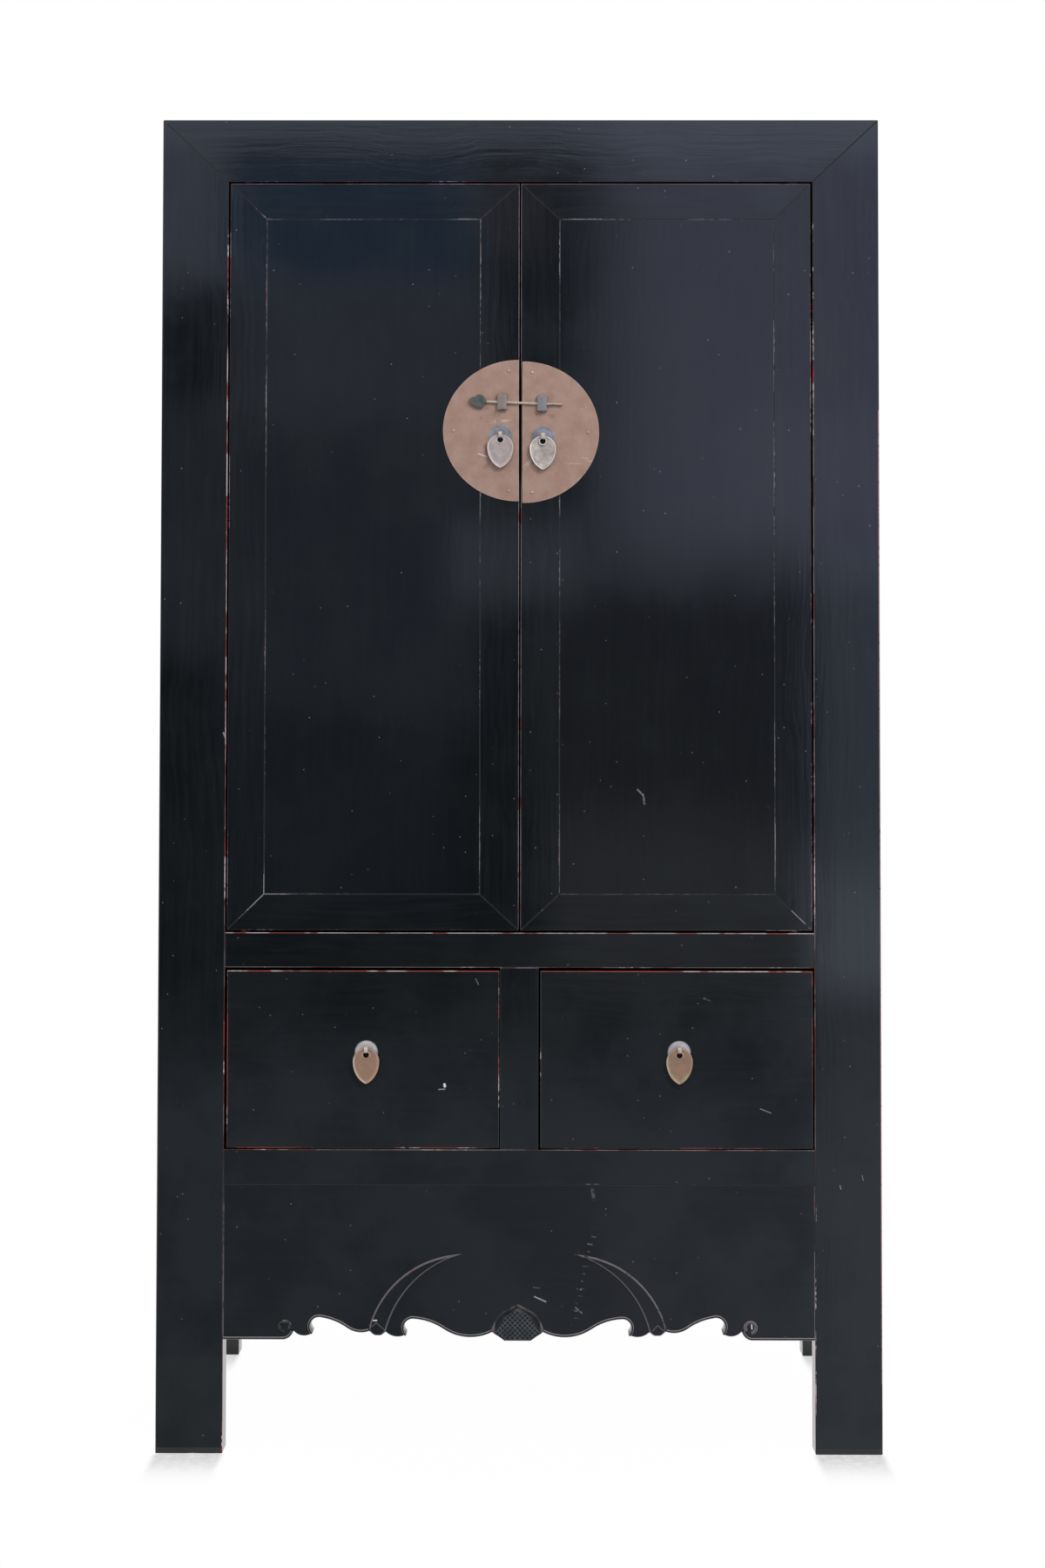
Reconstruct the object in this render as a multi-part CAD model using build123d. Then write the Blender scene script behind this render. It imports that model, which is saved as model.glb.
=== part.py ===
from build123d import *
import os
from math import atan2, cos, degrees, pi

# A two-door wedding cabinet in lacquered softwood. The frame of posts and mitred rails holds
# flush panels, two pivot-hung doors, two drawers and a carved apron.
# Millimetres. X is the width, the front faces -Y and Z points up. The origin is on the floor,
# in the middle of the four feet.

# ---- Overall plan ----
WIDTH = 1028.0
DEPTH = 540.0

# ---- Heights of the front, from the floor up ----
LEG_CLEARANCE = 160.4
APRON_HEIGHT = 218.5
LOWER_RAIL_HEIGHT = 48.6
DRAWER_OPENING_HEIGHT = 257.2
MIDDLE_RAIL_HEIGHT = 49.6
DOOR_OPENING_HEIGHT = 1075.9
TOP_RAIL_HEIGHT = 89.8

# ---- Posts and rails ----
POST_FACE = 95.0
FRONT_POST_DEPTH = 36.0
BACK_POST_FACE = 48.0
BACK_POST_DEPTH = 36.0
SIDE_RAIL_THICKNESS = 30.0
SIDE_TOP_RAIL_HEIGHT = 70.0
BACK_RAIL_THICKNESS = 30.0
DIVIDER_FACE = 54.3
ARRIS_RADIUS = 2.0

# ---- Joinery ----
TENON_THICKNESS = 12.0
SIDE_TENON_THICKNESS = 10.0
FRONT_TENON_LENGTH = 45.0
SIDE_TENON_LENGTH = 22.0
DIVIDER_TENON_LENGTH = 16.0
TENON_SHOULDER = 9.0
MITRE_TENON_WIDTH = 36.0
MITRE_TENON_INSET = 26.0
MITRE_TENON_RISE = 16.0
TONGUE_DEPTH = 8.0
TONGUE_THICKNESS = 5.0
TONGUE_PLAY = 1.0

# ---- Panels and boards ----
CASE_PANEL_THICKNESS = 12.0
BOARD_THICKNESS = 14.0
SHELF_THICKNESS = 16.0
SHELF_HEIGHT = 556.0
SHELF_SETBACK = 16.0
SHELF_PLAY = 1.0
BEARER_SECTION = 20.0

# ---- Doors ----
DOOR_THICKNESS = 26.0
DOOR_SIDE_GAP = 2.7
DOOR_MEETING_GAP = 2.6
DOOR_TOP_GAP = 2.8
DOOR_BOTTOM_GAP = 3.4
HINGE_STILE_FACE = 52.5
MEETING_STILE_FACE = 55.4
DOOR_RAIL_FACE = 51.3
DOOR_PANEL_THICKNESS = 12.0
DOOR_TENON_THICKNESS = 8.0
DOOR_TENON_INSET = 12.0
BATTEN_FACE = 44.0
BATTEN_DOVETAIL_DEPTH = 4.0
BATTEN_DOVETAIL_FLARE = 4.0
BATTEN_COUNT = 3

# ---- Door pivots, turned on the ends of the hinge stiles ----
PIVOT_RADIUS = 6.5
PIVOT_DEPTH_FROM_FACE = 11.0
PIVOT_CLEARANCE = 0.1
PIVOT_SEAT_CLEARANCE = 0.3
PIVOT_FOOT_LENGTH = 10.0
PIVOT_HEAD_LENGTH = 22.0
PIVOT_LIFT = 12.0
SWING_CLEARANCE = 0.3

# ---- Drawers ----
DRAWER_LENGTH = 460.0
DRAWER_SIDE_GAP = 2.3
DRAWER_TOP_GAP = 4.3
DRAWER_BOTTOM_GAP = 1.8
LEFT_DRAWER_OFFSET = 1.2
RIGHT_DRAWER_OFFSET = 0.3
DRAWER_FRONT_THICKNESS = 22.0
DRAWER_SIDE_THICKNESS = 14.0
DRAWER_SIDE_DROP = 14.0
DRAWER_BACK_THICKNESS = 12.0
DRAWER_BACK_DROP = 8.0
DRAWER_BOTTOM_THICKNESS = 9.0
DRAWER_BOTTOM_RISE = 8.0
DRAWER_GROOVE_DEPTH = 5.0
DOVETAIL_COUNT = 4
DOVETAIL_LAP = 15.0
DOVETAIL_NECK = 22.0
DOVETAIL_FLARE = 4.0

# ---- Drawer runners ----
RUNNER_SEAT = 24.0
RUNNER_THICKNESS = 22.0
RUNNER_CLEARANCE = 0.3
GUIDE_WIDTH = 16.0
GUIDE_HEIGHT = 30.0
RUNNER_TENON_LENGTH = 12.0
RUNNER_TENON_HEIGHT = 10.0

# ---- Lock plate, in two halves ----
PLATE_HALF_WIDTH = 107.7
PLATE_HALF_HEIGHT = 101.6
PLATE_THICKNESS = 1.6
PLATE_HEIGHT = 1451.1
LEFT_PLATE_CENTRE = -2.6
RIGHT_PLATE_CENTRE = 5.4
LEFT_PLATE_INSET = 0.4
RIGHT_PLATE_INSET = 1.8
RIGHT_HALF_DROP = 2.3
NAIL_HEAD_RADIUS = 3.0
NAIL_HEAD_RIM = 0.3
NAIL_CROWN = 1.2
NAIL_CROWN_RADIUS = 1.6
NAIL_FACETS = 12
NAIL_SHANK = 2.0
NAIL_LENGTH = 9.0
NAIL_EDGE_DISTANCE = 14.5
NAIL_SIDE_DISTANCE = 15.4

# ---- Lock staples and their pin ----
STAPLE_WIDTH = 13.6
STAPLE_HEIGHT = 23.0
STAPLE_THICKNESS = 1.5
STAPLE_EYE_DEPTH = 5.4
STAPLE_LEG_WIDTH = 5.0
STAPLE_RISE = 40.4
LEFT_STAPLE_X = -25.6
RIGHT_STAPLE_X = 31.5
PIN_RADIUS = 1.9
PIN_HEAD_X = -47.8
PIN_TIP_X = 60.4
PIN_HEAD_LENGTH = 25.0
PIN_HEAD_HALF_HEIGHT = 9.8
PIN_HEAD_THICKNESS = 3.0
CLENCH_LENGTH = 9.0
CLENCH_THICKNESS = 1.2

# ---- Pulls: rosette, split-pin eyelet and hanging pendant ----
ROSETTE_RADIUS = 16.9
ROSETTE_RIM = 0.8
ROSETTE_CROWN = 1.8
ROSETTE_CROWN_RADIUS = 8.0
ROSETTE_FACETS = 40
EYELET_INNER_RADIUS = 3.5
EYELET_OUTER_RADIUS = 4.8
EYELET_WIDTH = 5.2
EYELET_LEG_THICKNESS = 2.4
EYELET_HOLE_CLEARANCE = 0.2
PENDANT_THICKNESS = 1.4
PENDANT_HALF_WIDTH = 18.7
PENDANT_HANG = 3.3
PENDANT_HOLE_RADIUS = 4.3
PENDANT_EYE_CLEARANCE = 0.4
DOOR_PULL_LEFT_X = -28.2
DOOR_PULL_RIGHT_X = 32.6
DOOR_PULL_RISE = -8.8
DOOR_EYE_RISE = 2.3
DOOR_PENDANT_TOP = 0.1
DOOR_PENDANT_LENGTH = 48.2
DRAWER_PULL_LEFT_X = -217.1
DRAWER_PULL_RIGHT_X = 227.1
DRAWER_PULL_HEIGHT = 565.2
DRAWER_EYE_RISE = 4.0
DRAWER_PENDANT_TOP = 2.4
DRAWER_PENDANT_LENGTH = 50.6

# ---- Carving of the apron: distances out from its centre and up from the straight edge ----
APRON_THICKNESS = 24.0
CARVING_CENTRE = -1.9
BOSS_FLAT = (19.1, -1.3)
BOSS_SHOULDER = (35.9, 11.0)
BOSS_BEND = (19.0, 37.5)
BOSS_APEX = (0.0, 47.6)
LOBE_TURN = (105.0, 15.3)
LOBE_CREST = (147.6, 29.3)
HOOK_BACK = (160.8, 16.5)
HOOK_TIP = (156.6, 7.6)
HOOK_UNDERSIDE = (169.0, 3.8)
BEAD_INNER = (186.5, 10.6)
BEAD_LOW = (198.0, 6.4)
BEAD_OUTER = (210.0, 11.8)
SIDE_LOBE_TURN = (241.0, 16.3)
SIDE_LOBE_CREST = (277.2, 30.9)
SIDE_HOOK_BACK = (293.4, 19.0)
SIDE_HOOK_TIP = (289.5, 9.5)
SIDE_HOOK_UNDERSIDE = (301.0, 5.0)
SCROLL_NOTCH = (317.0, 11.9)
SCROLL_BULGE = (321.8, 4.2)
SCROLL_FOOT = (330.5, 0.0)
CURL_CENTRE = (329.5, 17.4)
CURL_RADIUS = 7.6
CURL_START = -75.0
CURL_SWEEP = 285.0
HORN_OUTER_FOOT = (209.2, 17.0)
HORN_OUTER_BEND = (176.0, 75.6)
HORN_INNER_FOOT = (186.8, 14.0)
HORN_INNER_BEND = (159.6, 68.3)
HORN_TIP = (88.0, 118.4)
BEAD_WIDTH = 3.8
BEAD_PROUD = 1.8
HORN_PROUD = 3.0
BOSS_PROUD = 2.6
BOSS_MARGIN = 4.6

# ---- Worked out from the sizes above ----
half_width = WIDTH / 2
front_y = -DEPTH / 2
back_y = DEPTH / 2
opening_half = half_width - POST_FACE
post_back_y = front_y + FRONT_POST_DEPTH
back_post_y = back_y - BACK_POST_DEPTH
back_post_x = half_width - BACK_POST_FACE
back_rail_y = back_y - BACK_RAIL_THICKNESS
side_rail_x = half_width - SIDE_RAIL_THICKNESS
apron_top = LEG_CLEARANCE + APRON_HEIGHT
lower_rail_top = apron_top + LOWER_RAIL_HEIGHT
middle_rail_bottom = lower_rail_top + DRAWER_OPENING_HEIGHT
middle_rail_top = middle_rail_bottom + MIDDLE_RAIL_HEIGHT
top_rail_bottom = middle_rail_top + DOOR_OPENING_HEIGHT
total_height = top_rail_bottom + TOP_RAIL_HEIGHT
side_top_rail_bottom = total_height - SIDE_TOP_RAIL_HEIGHT
frame_mid_y = front_y + FRONT_POST_DEPTH / 2
side_mid_x = half_width - SIDE_RAIL_THICKNESS / 2
back_mid_y = back_y - BACK_RAIL_THICKNESS / 2

door_width = opening_half - DOOR_SIDE_GAP - DOOR_MEETING_GAP / 2
door_bottom = middle_rail_top + DOOR_BOTTOM_GAP
door_top = top_rail_bottom - DOOR_TOP_GAP
door_back_y = front_y + DOOR_THICKNESS
door_panel_back_y = front_y + DOOR_PANEL_THICKNESS
swing_room = DOOR_SIDE_GAP - SWING_CLEARANCE
pivot_inset = (PIVOT_DEPTH_FROM_FACE**2 - swing_room**2) / (2 * swing_room)
pivot_x = opening_half - DOOR_SIDE_GAP - pivot_inset
pivot_y = front_y + PIVOT_DEPTH_FROM_FACE

plate_face_y = front_y - PLATE_THICKNESS
drawer_width = opening_half - DIVIDER_FACE / 2 - 2 * DRAWER_SIDE_GAP
drawer_bottom = lower_rail_top + DRAWER_BOTTOM_GAP
drawer_top = middle_rail_bottom - DRAWER_TOP_GAP
drawer_side_top = drawer_top - DRAWER_SIDE_DROP
drawer_front_back_y = front_y + DRAWER_FRONT_THICKNESS
drawer_end_y = front_y + DRAWER_LENGTH


# ---- Helpers ----
def block(x0, x1, y0, y1, z0, z1):
    """A squared timber between two corners."""
    return Pos((x0 + x1) / 2, (y0 + y1) / 2, (z0 + z1) / 2) * Box(x1 - x0, y1 - y0, z1 - z0)


def upright(face, y_front, y_rear):
    """A face drawn in X and Z, made solid from its front to its rear."""
    at_rear = Plane((0, y_rear, 0), x_dir=(1, 0, 0), z_dir=(0, -1, 0))
    return extrude(at_rear * face, y_rear - y_front)


def outline(*points):
    """A straight-sided face through the given corners."""
    return make_face(Polyline(*points, close=True))


def mirrored(solid):
    """The same piece for the other side of the cabinet."""
    return mirror(solid, about=Plane.YZ)


def save(node, *solids):
    """Write one node, with one solid or a group of like solids."""
    pieces = [piece for solid in solids for piece in solid.solids()]
    shape = pieces[0] if len(pieces) == 1 else Compound(children=pieces)
    shape.label = node
    export_step(shape, f"parts/{node}.step")


def save_pair(name, right_solid):
    """Write a piece and its mirror image as the right and the left node."""
    save(name.format(side="right"), right_solid)
    save(name.format(side="left"), mirrored(right_solid))


def tongued(x0, x1, y0, y1, z0, z1, thin, play=0.0):
    """The tongue all round a flat panel, thin along one axis and longer by play when it cuts."""
    low, high = [x0, y0, z0], [x1, y1, z1]
    for axis in range(3):
        if axis == thin:
            middle = (low[axis] + high[axis]) / 2
            low[axis], high[axis] = middle - TONGUE_THICKNESS / 2, middle + TONGUE_THICKNESS / 2
        else:
            low[axis] -= TONGUE_DEPTH + play
            high[axis] += TONGUE_DEPTH + play
    return block(low[0], high[0], low[1], high[1], low[2], high[2])


# ---- Boards and panels of the case, with the grooves they need ----
front_post_block = block(opening_half, half_width, front_y, post_back_y, 0, total_height)
back_post_block = block(back_post_x, half_width, back_post_y, back_y, 0, total_height)
post_blocks = front_post_block + mirrored(front_post_block) + back_post_block
post_blocks += mirrored(back_post_block)


def case_board(z_top):
    """A board let into the rails all round and notched about the posts, with its groove."""
    size = (-side_rail_x, side_rail_x, post_back_y, back_rail_y, z_top - BOARD_THICKNESS, z_top)
    board = block(*size) + tongued(*size, thin=2)
    return board - post_blocks, tongued(*size, thin=2, play=TONGUE_PLAY) - post_blocks


top_board, top_groove = case_board(total_height)
cupboard_floor, floor_groove = case_board(middle_rail_top)

side_inner_x = half_width - CASE_PANEL_THICKNESS
side_spans = ((lower_rail_top, middle_rail_bottom), (middle_rail_top, side_top_rail_bottom))
side_panels, side_grooves = [], []
back_panels, back_grooves = [], []
for low, high in side_spans:
    size = (side_inner_x, half_width, post_back_y, back_post_y, low, high)
    side_panels.append(block(*size) + tongued(*size, thin=0))
    side_grooves.append(tongued(*size, thin=0, play=TONGUE_PLAY))
    size = (-back_post_x, back_post_x, back_y - CASE_PANEL_THICKNESS, back_y, low, high)
    back_panels.append(block(*size) + tongued(*size, thin=1))
    back_grooves.append(tongued(*size, thin=1, play=TONGUE_PLAY))

# ---- Side and back rails ----
rail_spans = (
    (apron_top, lower_rail_top),
    (middle_rail_bottom, middle_rail_top),
    (side_top_rail_bottom, total_height),
)
side_rails, side_tenons = [], []
back_rails, back_tenons = [], []
for low, high in rail_spans:
    rail = block(side_rail_x, half_width, post_back_y, back_post_y, low, high)
    tenon = block(
        side_mid_x - SIDE_TENON_THICKNESS / 2,
        side_mid_x + SIDE_TENON_THICKNESS / 2,
        post_back_y - SIDE_TENON_LENGTH,
        back_post_y + SIDE_TENON_LENGTH,
        low + TENON_SHOULDER,
        high - TENON_SHOULDER,
    )
    side_rails.append(rail + tenon)
    side_tenons.append(tenon)
    rail = block(-back_post_x, back_post_x, back_rail_y, back_y, low, high)
    tenon = block(
        -back_post_x - SIDE_TENON_LENGTH,
        back_post_x + SIDE_TENON_LENGTH,
        back_mid_y - SIDE_TENON_THICKNESS / 2,
        back_mid_y + SIDE_TENON_THICKNESS / 2,
        low + TENON_SHOULDER,
        high - TENON_SHOULDER,
    )
    back_rails.append(rail + tenon)
    back_tenons.append(tenon)
side_rails = [rail - side_grooves - [floor_groove, top_groove] for rail in side_rails]
back_rails = [rail - back_grooves - [floor_groove, top_groove] for rail in back_rails]

# ---- Apron, sawn and carved from one board ----


def carved(point, side):
    """A point of the carving on one side of its centre."""
    return (CARVING_CENTRE + side * point[0], LEG_CLEARANCE + point[1])


def lobe_edges(side):
    """The scalloped lower edge from the boss's shoulder to the straight run, on one side."""

    def at(point):
        return carved(point, side)

    lobe_start = TangentArc(at(BOSS_SHOULDER), at(LOBE_TURN), tangent=(side * 2, -1))
    side_lobe_start = TangentArc(at(BEAD_OUTER), at(SIDE_LOBE_TURN), tangent=(side * 3, -1))
    return [
        lobe_start,
        TangentArc(at(LOBE_TURN), at(LOBE_CREST), tangent=lobe_start % 1),
        ThreePointArc(at(LOBE_CREST), at(HOOK_BACK), at(HOOK_TIP)),
        ThreePointArc(at(HOOK_TIP), at(HOOK_UNDERSIDE), at(BEAD_INNER)),
        ThreePointArc(at(BEAD_INNER), at(BEAD_LOW), at(BEAD_OUTER)),
        side_lobe_start,
        TangentArc(at(SIDE_LOBE_TURN), at(SIDE_LOBE_CREST), tangent=side_lobe_start % 1),
        ThreePointArc(at(SIDE_LOBE_CREST), at(SIDE_HOOK_BACK), at(SIDE_HOOK_TIP)),
        ThreePointArc(at(SIDE_HOOK_TIP), at(SIDE_HOOK_UNDERSIDE), at(SCROLL_NOTCH)),
        ThreePointArc(at(SCROLL_NOTCH), at(SCROLL_BULGE), at(SCROLL_FOOT)),
        Line(at(SCROLL_FOOT), (side * opening_half, LEG_CLEARANCE)),
    ]


def boss_edges(side):
    """The rounded gable of the boss, from its shoulder to its apex, on one side."""
    shoulder, bend, apex = (carved(p, side) for p in (BOSS_SHOULDER, BOSS_BEND, BOSS_APEX))
    return [
        Spline(shoulder, bend, tangents=[(-side, 2.2), (-side * 19, 10.1)]),
        Line(bend, apex),
    ]


def raised(face, proud):
    """Low relief on the apron's face, rooted in the board."""
    return upright(face, front_y - proud, front_y + BEAD_PROUD)


def make_apron():
    lower_edge = []
    for side in (-1, 1):
        foot, shoulder = carved(BOSS_FLAT, side), carved(BOSS_SHOULDER, side)
        lower_edge += [Line(carved((0, BOSS_FLAT[1]), side), foot), Line(foot, shoulder)]
        lower_edge += lobe_edges(side)
    sides = [
        Line((-opening_half, LEG_CLEARANCE), (-opening_half, apron_top)),
        Line((-opening_half, apron_top), (opening_half, apron_top)),
        Line((opening_half, apron_top), (opening_half, LEG_CLEARANCE)),
    ]
    board_face = make_face(lower_edge + sides)
    board = upright(board_face, front_y, front_y + APRON_THICKNESS)

    for side in (-1, 1):
        for edge in boss_edges(side):
            board += raised(trace(edge, BEAD_WIDTH * 0.7), BEAD_PROUD)
        curl = CenterArc((0, 0), CURL_RADIUS, CURL_START, CURL_SWEEP)
        curl = Pos(*CURL_CENTRE) * trace(curl, BEAD_WIDTH * 0.7)
        if side < 0:
            curl = mirror(curl, about=Plane.YZ)
        board += raised(Pos(CARVING_CENTRE, LEG_CLEARANCE) * curl, BEAD_PROUD)
        tip = carved(HORN_TIP, side)
        outer_foot, inner_foot = carved(HORN_OUTER_FOOT, side), carved(HORN_INNER_FOOT, side)
        horn = make_face(
            [
                ThreePointArc(outer_foot, carved(HORN_OUTER_BEND, side), tip),
                ThreePointArc(inner_foot, carved(HORN_INNER_BEND, side), tip),
                ThreePointArc(outer_foot, carved(BEAD_LOW, side), inner_foot),
            ]
        )
        board += raised(horn & board_face, HORN_PROUD)

    shrink = 1 - BOSS_MARGIN / BOSS_APEX[1]
    boss_points = [BOSS_FLAT, BOSS_SHOULDER, BOSS_BEND, BOSS_APEX]
    boss_points = [(x * shrink, z * shrink) for x, z in boss_points]
    boss_points[0] = (BOSS_FLAT[0] - 1, BOSS_FLAT[1] + 1)
    right = [carved(p, 1) for p in boss_points]
    left = [carved(p, -1) for p in reversed(boss_points[:-1])]
    board += raised(outline(*right, *left), BOSS_PROUD)

    tongue_y = front_y + APRON_THICKNESS / 2
    tongue = block(
        -opening_half - TONGUE_DEPTH,
        opening_half + TONGUE_DEPTH,
        tongue_y - TONGUE_THICKNESS / 2,
        tongue_y + TONGUE_THICKNESS / 2,
        LEG_CLEARANCE + TENON_SHOULDER,
        apron_top + TONGUE_DEPTH,
    )
    below_scallops = block(
        -opening_half,
        opening_half,
        front_y,
        front_y + APRON_THICKNESS,
        LEG_CLEARANCE,
        LEG_CLEARANCE + BOSS_APEX[1],
    )
    return board + (tongue - below_scallops), tongue


carved_apron, apron_tongue = make_apron()

# ---- Front rails and divider ----


def front_rail(low, high):
    """A rail flush with the posts' faces, with a blind tenon on each end."""
    rail = block(-opening_half, opening_half, front_y, post_back_y, low, high)
    tenon = block(
        -opening_half - FRONT_TENON_LENGTH,
        opening_half + FRONT_TENON_LENGTH,
        frame_mid_y - TENON_THICKNESS / 2,
        frame_mid_y + TENON_THICKNESS / 2,
        low + TENON_SHOULDER,
        high - TENON_SHOULDER,
    )
    return rail + tenon, tenon


lower_rail, lower_tenon = front_rail(apron_top, lower_rail_top)
middle_rail, middle_tenon = front_rail(middle_rail_bottom, middle_rail_top)

divider_half = DIVIDER_FACE / 2
divider_tenon = block(
    -divider_half + TENON_SHOULDER,
    divider_half - TENON_SHOULDER,
    frame_mid_y - TENON_THICKNESS / 2,
    frame_mid_y + TENON_THICKNESS / 2,
    lower_rail_top - DIVIDER_TENON_LENGTH,
    middle_rail_bottom + DIVIDER_TENON_LENGTH,
)
drawer_divider = divider_tenon + block(
    -divider_half, divider_half, front_y, post_back_y, lower_rail_top, middle_rail_bottom
)

top_rail_outline = outline(
    (-half_width, total_height),
    (half_width, total_height),
    (opening_half, top_rail_bottom),
    (-opening_half, top_rail_bottom),
)
top_rail = upright(top_rail_outline, front_y, post_back_y)
top_front_edge = top_rail.edges().filter_by(Axis.X).group_by(Axis.Z)[-1].sort_by(Axis.Y)[0]
top_rail = fillet(top_front_edge, ARRIS_RADIUS)
mitre_tenon = block(
    opening_half + MITRE_TENON_INSET,
    opening_half + MITRE_TENON_INSET + MITRE_TENON_WIDTH,
    frame_mid_y - TENON_THICKNESS / 2,
    frame_mid_y + TENON_THICKNESS / 2,
    top_rail_bottom,
    total_height - MITRE_TENON_RISE,
)


# ---- Drawer runners: outer ones with a guide on one edge, the middle one with a central guide ----
runner_top = drawer_bottom - RUNNER_CLEARANCE


def runner(base_x0, base_x1, guide_x0, guide_x1):
    """A runner housed in the lower rails, front and back, with its raised guide."""
    base = block(
        base_x0, base_x1, post_back_y, back_rail_y, runner_top - RUNNER_THICKNESS, runner_top
    )
    guide = block(
        guide_x0, guide_x1, post_back_y, back_rail_y, runner_top, runner_top + GUIDE_HEIGHT
    )
    tenon_top = lower_rail_top - TENON_SHOULDER
    tenon = block(
        base_x0 + TONGUE_THICKNESS,
        min(base_x1, opening_half) - TONGUE_THICKNESS,
        post_back_y - RUNNER_TENON_LENGTH,
        back_rail_y + RUNNER_TENON_LENGTH,
        tenon_top - RUNNER_TENON_HEIGHT,
        tenon_top,
    )
    return base + guide + tenon, tenon


side_runner, side_runner_tenon = runner(
    opening_half - RUNNER_SEAT, opening_half + GUIDE_WIDTH, opening_half, opening_half + GUIDE_WIDTH
)
middle_runner, middle_runner_tenon = runner(
    -divider_half - RUNNER_SEAT, divider_half + RUNNER_SEAT, -divider_half, divider_half
)
runner_tenons = [side_runner_tenon, mirrored(side_runner_tenon), middle_runner_tenon]

# ---- Holes that the doors' pivots turn in ----


def pivot_hole(low, high):
    """A blind round socket on the hinge axis."""
    hole = Cylinder(PIVOT_RADIUS + PIVOT_CLEARANCE, high - low)
    return Pos(pivot_x, pivot_y, (low + high) / 2) * hole


foot_socket = pivot_hole(middle_rail_top - PIVOT_FOOT_LENGTH, middle_rail_top)
head_socket = pivot_hole(top_rail_bottom, top_rail_bottom + PIVOT_HEAD_LENGTH + PIVOT_LIFT)

# ---- Finish the case ----
middle_rail = middle_rail - [divider_tenon, floor_groove, foot_socket, mirrored(foot_socket)]
lower_rail = lower_rail - [divider_tenon, apron_tongue] - runner_tenons
top_rail = top_rail - [top_groove, head_socket, mirrored(head_socket)]
top_rail = top_rail - [mitre_tenon, mirrored(mitre_tenon)]
top_rail = top_rail - side_tenons - [mirrored(tenon) for tenon in side_tenons]
back_rails[0] = back_rails[0] - runner_tenons

front_post_outline = outline(
    (opening_half, 0),
    (half_width, 0),
    (half_width, total_height),
    (opening_half, top_rail_bottom),
)
front_post = upright(front_post_outline, front_y, post_back_y)
outer_arris = front_post.edges().filter_by(Axis.Z).group_by(Axis.X)[-1].sort_by(Axis.Y)[0]
front_post = fillet(outer_arris, ARRIS_RADIUS) + mitre_tenon
front_post = front_post - [lower_tenon, middle_tenon, apron_tongue] - side_tenons - side_grooves

outer_arris = back_post_block.edges().filter_by(Axis.Z).group_by(Axis.X)[-1].sort_by(Axis.Y)[-1]
back_post = fillet(outer_arris, ARRIS_RADIUS)
back_post = back_post - side_tenons - back_tenons - side_grooves - back_grooves

shelf_top = middle_rail_top + SHELF_HEIGHT + SHELF_THICKNESS
bearer = block(
    side_inner_x - BEARER_SECTION,
    side_inner_x,
    post_back_y,
    back_post_y,
    middle_rail_top + SHELF_HEIGHT - BEARER_SECTION,
    middle_rail_top + SHELF_HEIGHT,
)
cupboard_shelf = block(
    -side_inner_x + SHELF_PLAY,
    side_inner_x - SHELF_PLAY,
    post_back_y + SHELF_SETBACK,
    back_post_y - SHELF_PLAY,
    middle_rail_top + SHELF_HEIGHT,
    shelf_top,
)


# ---- Doors: mitred frame, flush panel, dovetailed battens behind ----


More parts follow.
